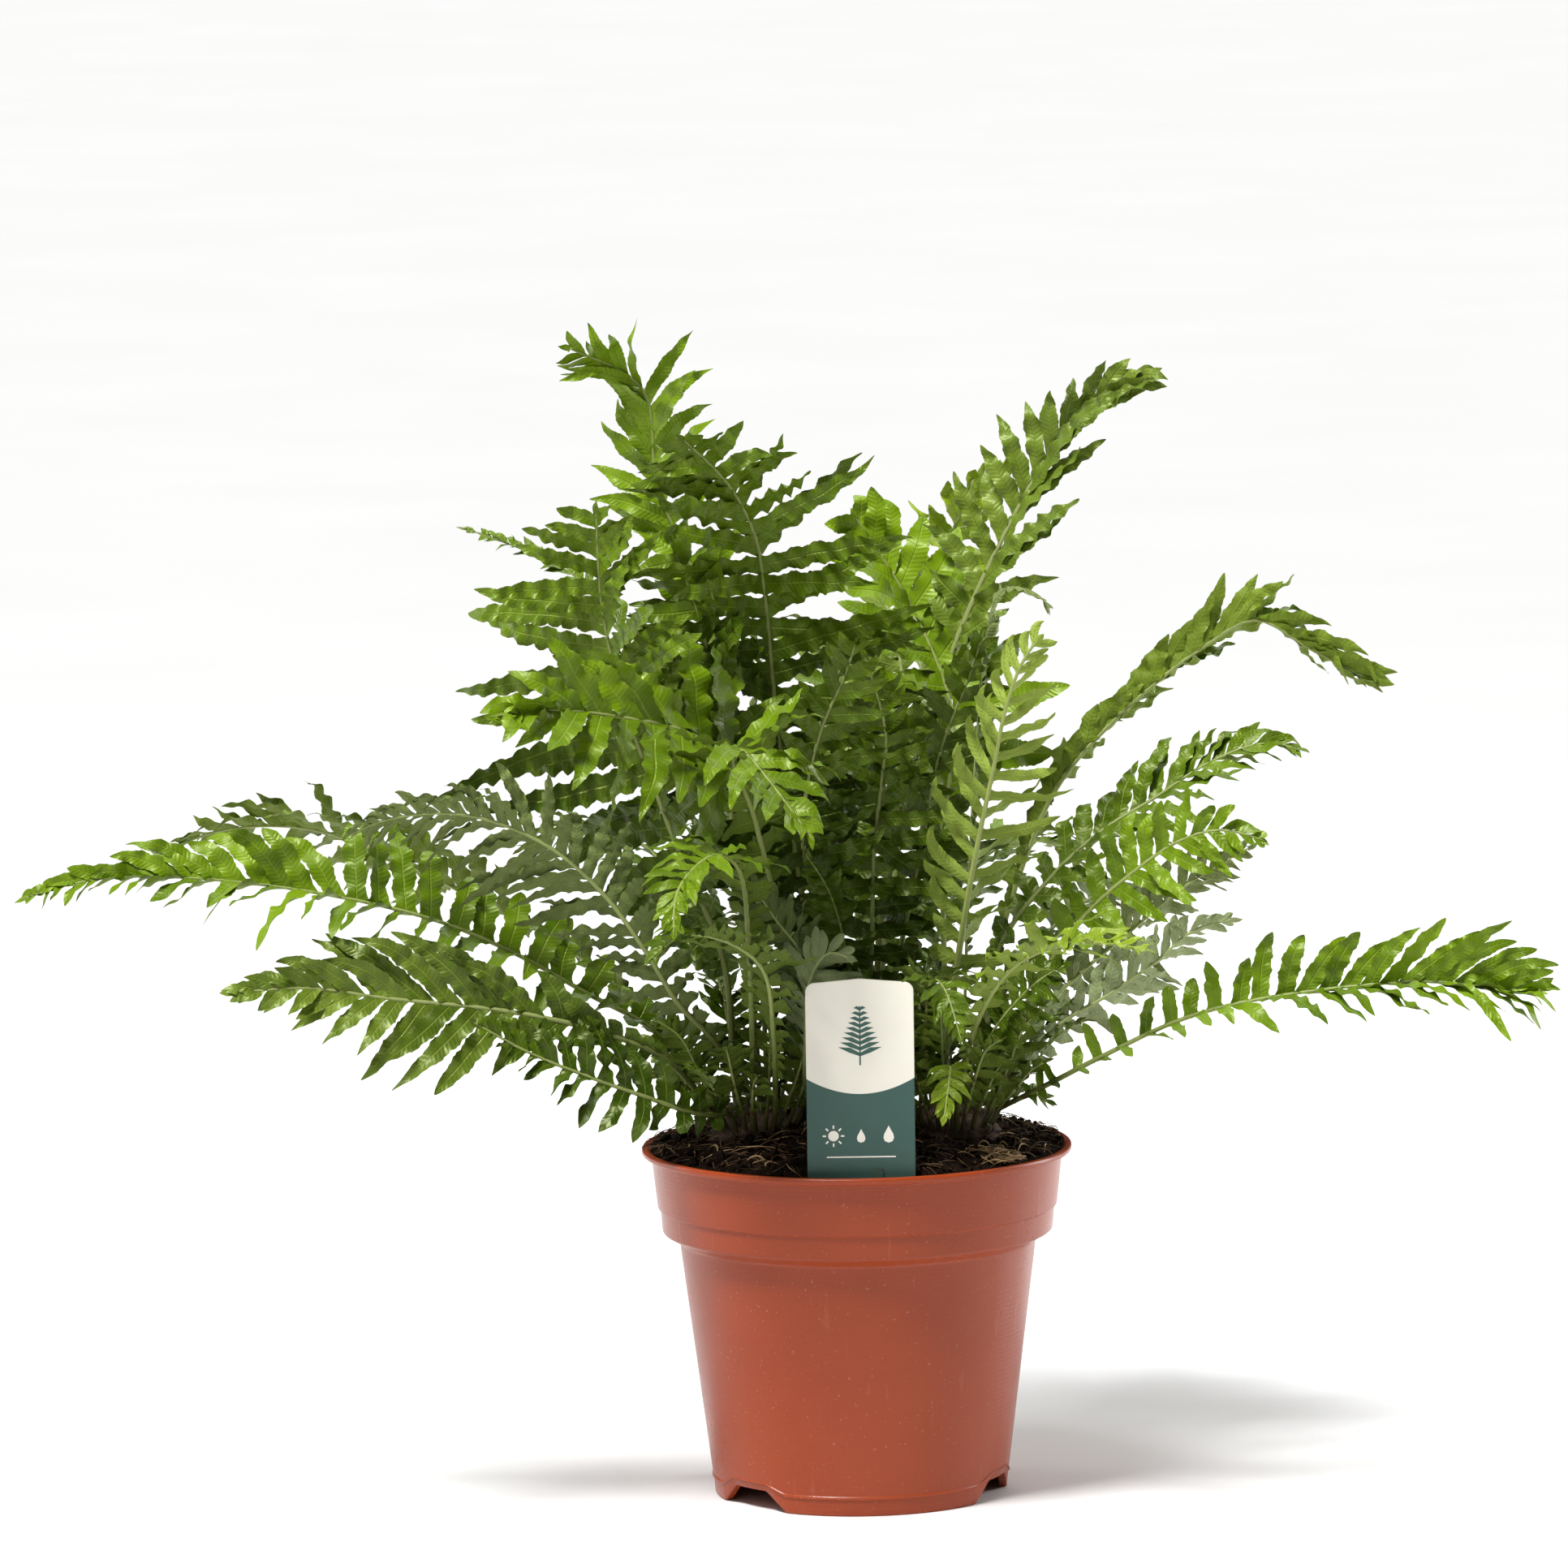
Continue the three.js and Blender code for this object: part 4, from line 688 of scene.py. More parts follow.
    dict(name="left_slender", leaf="green", stand=("left", "inner", 140), longest=22, side=(0.2, 0.9, 0.3),
         bare=0.4,
         path=[(-62, 34, 260), (-88, 48, 350), (-113, 54, 396), (-143, 58, 414), (-161, 58, 421),
               (-179, 58, 428)]),
    dict(name="young_furled", leaf="pale", stand=("left", "inner", 350), longest=12, side=(0.35, -0.9, 0.1),
         bare=0.55, lean=(50, 35), coil=(1.3, 6),
         path=[(-43, 0, 260), (-44, -5, 338), (-40, -8, 366), (-42, -8, 384), (-50, -9, 396),
               (-62, -10, 398)]),
    dict(name="young_hooked", leaf="grey", stand=("right", "inner", 300), longest=14, side=(0.1, 1, 0),
         bare=0.5, pitch=7, lean=(60, 30),
         path=[(50, -22, 260), (55, -26, 340), (59, -26, 380), (66, -24, 403), (80, -24, 402),
               (92, -24, 389)]),
    dict(name="centre_slender", leaf="green", stand=("middle", "inner", 130), longest=28, side=(0.2, 1, 0),
         bare=0.5, lobes=0.2,
         path=[(-13, 34, 250), (-19, 43, 326), (-11, 46, 351), (2, 48, 367), (20, 46, 390)]),
    dict(name="centre_small_grey", leaf="grey", stand=("left", "outer", 318), longest=22,
         side=(-0.8, -0.3, -0.4), bare=0.35, lobes=0.1,
         path=[(-24, -42, 215), (-24, -55, 248), (-34, -64, 264), (-46, -70, 282), (-56, -76, 290)]),
    dict(name="centre_olive", leaf="dark", stand=("middle", "outer", 272), longest=22,
         side=(0.9, -0.3, 0.3), bare=0.35, lobes=0.1,
         path=[(-1, -14, 220), (-5, -30, 252), (-11, -42, 274), (-22, -56, 294)]),
    dict(name="front_left_low", leaf="green", stand=("left", "outer", 293), longest=32, side=(-0.7, 0.7, 0),
         bare=0.3,
         path=[(-36, -62, 215), (-40, -88, 246), (-55, -112, 262), (-75, -134, 268), (-92, -152, 258)]),
    dict(name="front_nodding", leaf="bright", stand=("left", "outer", 266), longest=30,
         side=(-0.9, 0.3, 0.1), bare=0.45,
         path=[(-46, -66, 250), (-50, -100, 292), (-62, -130, 302), (-76, -152, 290), (-78, -166, 268)]),
    dict(name="front_right_light", leaf="pale", stand=("right", "outer", 275), longest=32,
         side=(-0.75, -0.65, 0), bare=0.3,
         path=[(52, -58, 215), (67, -84, 244), (86, -106, 257), (106, -124, 261), (132, -142, 259)]),
    dict(name="front_right_nodding", leaf="green", stand=("right", "outer", 228), longest=22,
         side=(-1, 0, 0), bare=0.3,
         path=[(30, -46, 210), (33, -70, 238), (39, -92, 236), (46, -106, 214)]),
    dict(name="small_pale", leaf="grey", stand=("left", "outer", 348), longest=26, side=(-0.35, -0.2, 0.9),
         bare=0.3, pitch=7.5, fill=0.98, hook=0.2, droop=0.05, twist=0.35, crisp=1, blunt=0.9,
         # Its underside is painted paler, as painted light falling on it from the front.
         finish="grey_painted_lit",
         path=[(-22, -44, 205), (-20, -62, 236), (-11, -72, 251), (2, -78, 247)]),
    dict(name="small_hanging", leaf="pale", stand=("right", "outer", 251), longest=13, side=(-1, 0, 0),
         bare=0.3,
         path=[(39, -46, 185), (41, -58, 198), (40, -70, 192), (37, -78, 174)]),
    dict(name="small_dark_right", leaf="dark", stand=("right", "outer", 298), longest=22,
         side=(0.5, -0.6, -0.6), bare=0.3,
         path=[(57, -44, 205), (67, -54, 222), (80, -62, 236), (96, -68, 246)]),
    dict(name="small_on_soil", leaf="green", stand=("right", "outer", 7), longest=10, side=(0, -0.9, -0.3),
         bare=0.2,
         path=[(70, -12, 180), (79, -13, 178), (88, -14, 172)]),
    dict(name="back_tall", leaf="green", stand=("middle", "inner", 70), longest=44, side=(-1, 0.1, 0),
         bare=0.4, step=1.7,
         path=[(18, 50, 260), (24, 76, 330), (20, 102, 375), (8, 130, 392)]),
    dict(name="back_left", leaf="dark", stand=("middle", "outer", 145), longest=42, side=(0.8, 0.55, 0),
         bare=0.3, step=1.7,
         path=[(-25, 60, 230), (-48, 100, 290), (-76, 140, 318), (-104, 175, 316), (-126, 202, 300)]),
    dict(name="back_centre", leaf="green", stand=("middle", "outer", 82), longest=44, side=(1, 0, 0),
         bare=0.3, step=1.7,
         path=[(2, 74, 250), (-2, 112, 325), (-6, 152, 360), (-8, 192, 356), (-10, 224, 334)]),
    dict(name="back_right", leaf="bright", stand=("middle", "outer", 48), longest=38, side=(0.8, -0.55, 0),
         bare=0.3, step=1.7,
         path=[(30, 58, 215), (48, 96, 255), (72, 136, 270), (96, 170, 262), (110, 192, 245)]),
    dict(name="back_low", leaf="dark", stand=("middle", "outer", 112), longest=30, side=(0.95, 0.3, 0),
         bare=0.25, step=1.7,
         path=[(-16, 62, 200), (-28, 98, 230), (-42, 134, 236), (-54, 164, 220)]),
    dict(name="back_left_low", leaf="green", stand=("left", "outer", 98), longest=36, side=(0.75, 0.65, 0),
         bare=0.3, step=1.7,
         path=[(-58, 40, 220), (-82, 84, 266), (-108, 124, 280), (-136, 158, 272), (-156, 182, 254)]),
    dict(name="back_right_low", leaf="green", stand=("right", "outer", 85), longest=32,
         side=(0.75, -0.65, 0), bare=0.3, step=1.7,
         path=[(62, 28, 210), (92, 68, 243), (122, 106, 253), (156, 146, 240)]),
]

# Fronds in the plant's heart, which show between the others as dark green.
INNER_FRONDS = [
    dict(name="inner_bright", leaf="green", stand=("left", "inner", 335), longest=46, side=(0.95, -0.3, 0.1),
         bare=0.4, pitch=14, closer=0.3, fill=0.85, full=0.2, narrows=0.7, lean=(92, 70),
         right_lean=(60, 44), twist=0.35, crisp=1.4, wave=13, scallop=0.08,
         path=[(-42, -8, 262), (-53, -16, 326), (-62, -22, 376), (-72, -28, 412), (-82, -34, 436)]),
    dict(name="inner_glossy", leaf="dark", stand=("middle", "inner", 215), longest=40, side=(0.9, 0.1, 0.3),
         bare=0.35, pitch=13, closer=0.3, fill=0.68, full=0.2, narrows=0.7, lean=(80, 46), twist=0.4,
         crisp=1.5, wave=11,
         path=[(-14, -6, 244), (-22, -36, 300), (-14, -50, 344), (-2, -54, 372), (4, -60, 392)]),
    dict(name="inner_right", leaf="dark", stand=("middle", "inner", 330), longest=36, side=(0.9, 0.3, -0.1),
         bare=0.3, pitch=13, closer=0.3, fill=0.68, full=0.2, narrows=0.7, lean=(74, 44), twist=0.4,
         crisp=1.5, wave=11,
         path=[(20, -2, 240), (30, -18, 290), (38, -22, 330), (52, -26, 366), (60, -36, 392)]),
]

# Young shoots among the stalks: crown, compass angle there, height, and how far out they reach.
SHOOTS = [
    ("left", 185, 34, 40), ("left", 222, 46, 34), ("left", 254, 38, 44), ("left", 282, 60, 26),
    ("left", 304, 48, 34), ("left", 334, 66, 24), ("left", 20, 72, 22), ("left", 110, 58, 30),
    ("left", 155, 44, 38), ("middle", 200, 74, 22), ("middle", 232, 58, 26), ("middle", 262, 66, 30),
    ("middle", 290, 52, 24), ("middle", 318, 70, 26), ("middle", 340, 60, 26), ("middle", 25, 62, 28),
    ("middle", 98, 50, 34), ("middle", 160, 48, 32), ("right", 352, 40, 40), ("right", 318, 50, 34),
    ("right", 285, 40, 40), ("right", 262, 58, 28), ("right", 240, 46, 30), ("right", 210, 66, 24),
    ("right", 182, 56, 24), ("right", 120, 60, 28), ("right", 62, 44, 36), ("right", 18, 46, 40),
    ("left", 200, 20, 30), ("left", 236, 26, 26), ("left", 266, 22, 22), ("left", 318, 34, 18),
    ("left", 352, 40, 14), ("left", 60, 36, 22), ("left", 130, 24, 28), ("middle", 215, 40, 16),
    ("middle", 248, 34, 20), ("middle", 276, 38, 16), ("middle", 305, 30, 18), ("middle", 350, 38, 16),
    ("middle", 60, 34, 22), ("middle", 130, 36, 20), ("right", 335, 24, 26), ("right", 300, 28, 24),
    ("right", 270, 26, 20), ("right", 225, 34, 18), ("right", 195, 38, 16), ("right", 90, 30, 24),
    ("right", 40, 26, 26),
]

# Greens of a leaf: in its darkest places, in its lightest places, and on its underside.
LEAF_GREENS = {
    "dark": ((0.016, 0.038, 0.001), (0.090, 0.155, 0.003), (0.082, 0.120, 0.010)),
    "green": ((0.028, 0.060, 0.002), (0.120, 0.200, 0.005), (0.124, 0.178, 0.020)),
    "bright": ((0.046, 0.098, 0.002), (0.178, 0.292, 0.004), (0.154, 0.225, 0.020)),
    "pale": ((0.130, 0.210, 0.006), (0.280, 0.390, 0.020), (0.270, 0.360, 0.055)),
    "grey": ((0.044, 0.082, 0.004), (0.140, 0.208, 0.020), (0.165, 0.210, 0.066)),
    # The grey with its underside painted far paler: painted light on undersides that face the lamps.
    "grey_painted_lit": ((0.056, 0.100, 0.005), (0.150, 0.210, 0.030), (0.330, 0.390, 0.190)),
}

VEIN_GREEN = (0.34, 0.40, 0.07)
STALK_GREEN = (0.31, 0.35, 0.12)
STALK_FOOT = (0.045, 0.042, 0.012)
STALK_OLIVE = (0.105, 0.125, 0.024)
STALK_RIDGE = (0.07, 0.06, 0.015)
# Middle and green of the painted shade in the plant's heart, and heights where painted sunlight lightens the
# top.
PAINTED_SHADE_CENTRE = (-0.04, -0.03, 0.215)
PAINTED_SHADE_GREEN = (0.009, 0.024, 0.001)
SUNLIT_FROM = 0.29
SUNLIT_TO = 0.42
VEIN_PITCH = 2.2
VEIN_SLANT = 2.4
UPPER_SKIN, UNDER_SKIN, STALK_SKIN, SCALE_SKIN = range(4)

# A leaflet's half width along its length, drawn out to a point or blunt.
DRAWN_OUTLINE = ((0, 0.05, 0.13, 0.28, 0.45, 0.6, 0.74, 0.86, 0.94, 1),
                 (1.15, 0.84, 0.92, 1.05, 1.03, 0.9, 0.62, 0.34, 0.16, 0.03))
BLUNT_OUTLINE = ((0, 0.05, 0.13, 0.3, 0.5, 0.7, 0.84, 0.93, 0.97, 1),
                 (1.15, 0.9, 0.95, 1.02, 1.04, 0.98, 0.8, 0.52, 0.34, 0.08))

BLADE_COLUMNS = np.array([-1, -0.55, 0, 0.55, 1])
LEAF_THICKNESS = 0.3
FULL_HALF_WIDTH = 4.5
SHORTEST_LEAFLET = 4.5
STALK_SIDES = 8
STALK_START = 8
TIP_ROOM = 5
FOOT_SCALES = 16
FOOT_SCALES_REACH = 26
COIL_STEP = 0.7


def shade(colour, factor):
    """A colour made darker or lighter by a factor."""
    return tuple(factor * c for c in colour)


def mixed(one, other, share):
    """Two colours mixed, with a share of the other."""
    return tuple((1 - share) * a + share * b for a, b in zip(one, other))


def leaf_skin(name, deep, light, vein, roughness, coat, under=False):
    """Leaf tissue. The blade map runs in millimetres along a leaflet and from edge to edge across it."""
    made = Finish(name, roughness, specular=0.42, coat=coat, coat_roughness=0.3, tint=(0.9, 1.0, 0.4))
    blade = made.axes(made.node("ShaderNodeUVMap", uv_map="blade").outputs[0])
    across = made.maths("ABSOLUTE", blade["Y"])

    # Each leaflet has its own tone, grows lighter towards the frond's tip, and is blotched.
    tone = made.node("ShaderNodeAttribute", attribute_name="tone").outputs["Color"]
    own = made.node("ShaderNodeSeparateColor", {0: tone})
    blotch = made.spread(made.speckle(38, 4), 0.32, 0.7)
    share = made.maths("MULTIPLY", blotch, 0.45)
    share = made.maths("ADD", share, made.maths("MULTIPLY", own.outputs[0], 0.4))
    share = made.maths("ADD", share, made.maths("MULTIPLY", own.outputs[1], 0.22))
    colour = made.blend(made.spread(share, 0.1, 0.95), deep, light)

    # Side veins slant from the middle vein to the edge, which is a little lighter.
    slant = made.maths("SUBTRACT", blade["X"], made.maths("MULTIPLY", across, VEIN_SLANT))
    ribs = made.maths("SINE", made.maths("MULTIPLY", slant, 2 * math.pi / VEIN_PITCH))
    colour = made.blend(made.spread(ribs, 0.3, 1, 0, 0.05), colour, vein)
    middle = made.spread(across, 0.035, 0.1, 1, 0)
    colour = made.blend(made.maths("MULTIPLY", middle, 0.85 if under else 0.5), colour, vein)
    colour = made.blend(made.spread(across, 0.88, 1, 0, 0.4), colour, light)

    # The top leaves are painted lighter, as painted sunlight, and those in the plant's heart are painted
    # darker, as painted shade.
    level = made.axes(made.place)["Z"]
    colour = made.blend(made.spread(level, SUNLIT_FROM, SUNLIT_TO, 0, 0.35), colour, shade(light, 1.2))
    inward = made.node("ShaderNodeVectorMath", {0: made.place, 1: PAINTED_SHADE_CENTRE}, operation="DISTANCE")
    colour = made.blend(made.spread(inward.outputs["Value"], 0.07, 0.2, 0.4, 0), colour, PAINTED_SHADE_GREEN)

    normal = made.relief(ribs, 0.00005)
    normal = made.relief(middle, 0.0003 if under else -0.00025, normal)
    normal = made.relief(made.speckle(300, 3), 0.00018, normal)
    waxy = made.spread(made.speckle(90, 4), 0.3, 0.7, roughness - 0.06, roughness + 0.1)
    return made.wear(colour, waxy, normal)


def stalk_skin(name, fresh):
    """Rib and stalk: brown at the foot, olive above it, then the leaf's own pale green, finely ridged."""
    made = Finish(name, 0.45, specular=0.25)
    share = made.axes(made.node("ShaderNodeUVMap", uv_map="blade").outputs[0])["X"]
    share = made.maths("ADD", share, made.spread(made.speckle(120, 3), 0.3, 0.7, -0.03, 0.03))
    colour = made.blend(made.spread(share, 0.0, 0.05), STALK_FOOT, STALK_OLIVE)
    colour = made.blend(made.spread(share, 0.1, 0.42), colour, fresh)
    ridges = made.speckle(700, 3, 0.6, stretch=(1, 1, 0.1))
    colour = made.blend(made.spread(ridges, 0.55, 0.75, 0, 0.3), colour, STALK_RIDGE)
    return made.wear(colour, None, made.relief(ridges, 0.0002))


LEAF_FINISHES = {}
for leaf, (deep, light, under) in LEAF_GREENS.items():
    LEAF_FINISHES[leaf] = [
        leaf_skin(f"leaf_{leaf}", deep, light, mixed(light, VEIN_GREEN, 0.6), 0.4, 0.1),
        leaf_skin(f"leaf_{leaf}_underside", shade(under, 0.7), under, shade(under, 1.35), 0.6, 0.0, True),
        stalk_skin(f"stalk_{leaf}", mixed(under, STALK_GREEN, 0.7)),
        crown_finishes[SCALE],
    ]


def smooth_path(corners):
    """A smooth line through the corners, finely divided, with its distance from the start."""
    corners = np.array(corners, float)
    ends = [2 * corners[0] - corners[1], *corners, 2 * corners[-1] - corners[-2]]
    line = [corners[0]]
    for p0, p1, p2, p3 in zip(ends, ends[1:], ends[2:], ends[3:]):
        d0, d1, d2 = (np.linalg.norm(b - a) ** 0.5 for a, b in ((p0, p1), (p1, p2), (p2, p3)))
        m1 = ((p1 - p0) / d0 - (p2 - p0) / (d0 + d1) + (p2 - p1) / d1) * d1
        m2 = ((p2 - p1) / d1 - (p3 - p1) / (d1 + d2) + (p3 - p2) / d2) * d1
        for t in np.linspace(0, 1, 25)[1:]:
            a, b = 2 * t**3 - 3 * t**2 + 1, -2 * t**3 + 3 * t**2
            line.append(a * p1 + b * p2 + (t**3 - 2 * t**2 + t) * m1 + (t**3 - t**2) * m2)
    line = np.array(line)
    gone = np.concatenate([[0], np.cumsum(np.linalg.norm(np.diff(line, axis=0), axis=1))])
    return line, gone


def coil_on(line, gone, side, turns, radius):
    """Carries a young frond's line on into the coil of its tip."""
    ahead = unit(line[-1] - line[-3])
    right = unit(side - (ahead @ side) * ahead)
    up = np.cross(right, ahead)
    point, angle, coil = line[-1], 0, []
    while angle < turns * 2 * math.pi:
        angle += COIL_STEP / (radius * (1 - 0.75 * angle / (turns * 2 * math.pi)))
        point = point + (ahead * math.cos(angle) + up * math.sin(angle)) * COIL_STEP
        coil.append(point)
    coil_gone = gone[-1] + COIL_STEP * np.arange(1, len(coil) + 1)
    return np.concatenate([line, coil]), np.concatenate([gone, coil_gone])


class Rib:
    """A frond's line from its mouth in the crown to its tip, and how its leaf is turned along it."""

    def __init__(self, row):
        crown, ring, degrees = row["stand"]
        radius, slant = RINGS[ring]
        compass = spoke_at(math.radians(degrees))
        self.mouth = np.array([*CROWNS[crown], crown_level(radius)]) + compass * radius
        self.rise = np.array([0, 0, math.cos(math.radians(slant))]) + compass * math.sin(math.radians(slant))
        self.line, self.gone = smooth_path([self.mouth + self.rise * STALK_START, *row["path"]])
        self.side = unit(np.array(row["side"], float))
        if "coil" in row:
            self.line, self.gone = coil_on(self.line, self.gone, self.side, *row["coil"])
        self.length = 0.98 * self.gone[-1]
        self.thick = row.get("thick", 1.5 if row["longest"] > 25 else 1.0)

    def points_at(self, places):
        return np.stack([np.interp(places, self.gone, self.line[:, k]) for k in range(3)], -1)

    def frames_at(self, places):
        """The points, headings, right-hand sides and upper sides at distances along the rib."""
        ahead = unit(self.points_at(places + 0.8) - self.points_at(places - 0.8))
        right = unit(self.side - (ahead @ self.side)[:, None] * ahead)
        return self.points_at(places), ahead, right, np.cross(right, ahead)

    def frame_at(self, place):
        return (v[0] for v in self.frames_at(np.array([place])))

    def half_width(self, along):
        """Half the stalk's width at a share of the leaf, 0 below it."""
        return self.thick * (0.86 - 0.52 * along ** 0.9)


def add_stalk(frond, rib, bare):
    """The stalk and rib: a grooved rod that stands in the crown and thins to the leaf's tip."""
    places = np.linspace(0, rib.length * 0.995, max(30, int(rib.length / 5)))
    point, ahead, right, up = rib.frames_at(places)
    point = np.concatenate([rib.mouth + rib.rise * np.array([[-5], [0], [4]]), point])
    ahead = np.concatenate([np.repeat(rib.rise[None], 3, 0), ahead])
    foot_right = unit(rib.side - rib.side @ rib.rise * rib.rise)
    right = np.concatenate([np.repeat(foot_right[None], 3, 0), right])
    up = np.cross(right, ahead)
    share = np.concatenate([[-0.03, -0.015, -0.005], places / rib.length])
    width = rib.half_width(np.clip((share - bare) / (1 - bare), 0, 1)) * (1 - 0.1 * np.clip(share, 0, 1))
    width *= np.where(share > 0.97, np.clip((1.0 - share) / 0.03, 0.25, 1), 1)
    width[:5] *= np.linspace(1.4, 1, 5)
    angles = (np.arange(STALK_SIDES) + 0.5) * 2 * math.pi / STALK_SIDES
    groove = np.where(np.sin(angles) > 0.8, 0.72, 1.0)
    level, upright = (np.cos(angles) * groove)[:, None], (np.sin(angles) * groove)[:, None]
    rod = point[:, None] + (right[:, None] * level + up[:, None] * upright) * width[:, None, None]
    index = np.arange(len(point) * STALK_SIDES).reshape(-1, STALK_SIDES)
    ring_on = np.roll(index, -1, axis=1)
    sides = np.stack([index[:-1], index[1:], ring_on[1:], ring_on[:-1]], -1).reshape(-1, 4)
    cap = np.array([[3, 2, 1, 0], [7, 4, 3, 0], [7, 6, 5, 4]])
    sides = np.concatenate([sides, cap[:, ::-1] + index[-1, 0], cap + index[0, 0]])
    stalk_map = np.stack([np.repeat(share, STALK_SIDES), np.zeros(index.size)], -1)
    frond.add(rod.reshape(-1, 3), (STALK_SKIN, sides), blade=stalk_map, tone=(0.5, 0, 0, 1))


def strips(grid):
    """The faces of a grid of point numbers."""
    return np.stack([grid[:-1, :-1], grid[:-1, 1:], grid[1:, 1:], grid[1:, :-1]], -1).reshape(-1, 4)


def add_leaflet(frond, luck, foot, ahead, out, up, hand, length, half, lean, look):
    """One leaflet: a thin waved blade with two skins, that leaves the rib at an angle and hooks ahead."""
    steps = max(8, int(length / look["step"]))
    s = np.concatenate([[0, 0.7 / length, 1.9 / length], np.linspace(3.2 / length, 1, steps - 2)])

    # The middle vein: leaning, hooked ahead, arched and drooping.
    turn = lean - look["hook"] * s ** 1.4 + luck.normal(0, 0.17) * s ** 2
    heading = np.sin(turn)[:, None] * out + np.cos(turn)[:, None] * ahead
    step = np.diff(s, prepend=0)[:, None] * length
    middle = foot + np.cumsum(heading * step, axis=0)
    rise = look["arch"] * luck.uniform(0.4, 1.6) * np.sin(math.pi * 0.85 * s)
    rise += luck.normal(0, 0.1) * s ** 2 + luck.normal(0, 0.05) * np.clip(s - 0.75, 0, 1) * 4
    ripple = luck.uniform(18, 30)
    rise += 1.5 / length * np.sin(2 * math.pi * s * length / ripple + luck.uniform(0, 6.28)) * s
    middle += up * (length * rise)[:, None]
    middle[:, 2] -= look["droop"] * luck.uniform(0.5, 1.6) * length * s ** 2.2

    # Across the blade: along the rib where it is joined, then square to the vein and twisting.
    across = np.cos(turn)[:, None] * out - np.sin(turn)[:, None] * ahead
    joined = np.clip(s * length / 3.5, 0, 1)[:, None]
    across = unit(across * joined - ahead * (1 - joined))
    twist = (look["blind"] + luck.normal(0, look["twist"])) * np.clip(s * 5, 0, 1)
    twist = twist + luck.normal(0, look["twist"]) * s
    over = np.cos(twist)[:, None] * up - np.sin(twist)[:, None] * across
    across = np.cos(twist)[:, None] * across + np.sin(twist)[:, None] * up
    blunt = np.clip(look["blunt"] + luck.normal(0, 0.2), 0, 1)
    width = ((1 - blunt) * np.interp(s, *DRAWN_OUTLINE) + blunt * np.interp(s, *BLUNT_OUTLINE)) * half

    # The edges: each is waved up and down, scalloped in step with the waves, and finely toothed.
    calm = np.clip(s * length / 7, 0, 1) * np.clip((1 - s) * 4, 0.2, 1)
    wave = 2 * math.pi * length / (look["wave"] * luck.uniform(0.85, 1.2))
    small = min(1, half / FULL_HALF_WIDTH)
    crisp = look["crisp"] * luck.uniform(0.7, 1.25) * small * calm
    lift = look["fold"] * luck.uniform(0.2, 1.6) * width[:, None] * np.abs(BLADE_COLUMNS)
    push = np.ones((len(s), len(BLADE_COLUMNS)))
    for side in (-1, 1):
        shift = luck.uniform(0, 6.28)
        phase = wave * s + shift + 0.7 * np.sin(0.31 * wave * s + 2 * shift)
        own = BLADE_COLUMNS * side > 0
        edge = np.abs(BLADE_COLUMNS[own])
        lift[:, own] += (crisp * np.sin(phase))[:, None] * edge ** 1.5
        push[:, own] = 1 + (look["scallop"] * small * np.sin(phase + 1.3) * calm)[:, None]
        teeth = 0.06 * np.sin(2 * math.pi * s * length / luck.uniform(3.1, 3.9) + shift) * calm
        push[:, own] += teeth[:, None] * edge ** 4
    place = middle[:, None] + across[:, None] * (width[:, None] * BLADE_COLUMNS * push)[..., None]
    place = place + over[:, None] * lift[..., None]
    body = np.array([0.9, 1, 0.9]) * LEAF_THICKNESS * np.clip((1 - s) * 4, 0.05, 1)[:, None]
    lower = place[:, 1:4] - over[:, None] * body[..., None]

    # Five rows of points on the upper skin and three more on the lower, which shares the edges.
    index = np.arange(len(s) * 8).reshape(len(s), 8)
    top = index[:, :5]
    low = index[:, [0, 5, 6, 7, 4]]
    if hand < 0:
        top, low = top[:, ::-1], low[:, ::-1]
    blade = np.zeros((len(s), 8, 2))
    blade[..., 0] = (s * length)[:, None]
    blade[..., 1] = np.concatenate([BLADE_COLUMNS, BLADE_COLUMNS[1:4]])
    frond.add(np.concatenate([place, lower], 1).reshape(-1, 3), (UPPER_SKIN, strips(top)),
              (UNDER_SKIN, strips(low)[:, ::-1]), blade=blade.reshape(-1, 2),
              tone=(luck.uniform(0, 1), look["share"], 0, 1))


def leaflet_spots(row, rib, luck):
    """Where leaflets grow: distance along the rib, share of the leaf, room, and length."""
    start = row["bare"] * rib.length
    pitch = row.get("pitch", 4.4 + 0.13 * row["longest"])
    spots = []
    place = start
    while place < rib.length - TIP_ROOM:
        along = (place - start) / (rib.length - start)
        gap = pitch * (1 - row["closer"] * along ** 1.6)
        length = (0.28 + 0.72 * min(1, along / row["full"]) ** 1.2) * row["longest"]
        past_peak = max(0, (along - row["peak"]) / (1 - row["peak"]))
        spots.append((place, along, gap, length * (1 - row["narrows"] * past_peak ** row["rounded"])))
        place += gap
    place = start - 0.55 * pitch
    while place > row.get("lobes", 0.5 * row["bare"]) * rib.length:
        lobe = 0.28 * row["longest"] * (place / start) * luck.uniform(0.5, 1)
        spots.append((place, 0, 0.62 * pitch, lobe))
        place -= 0.6 * pitch
    return spots


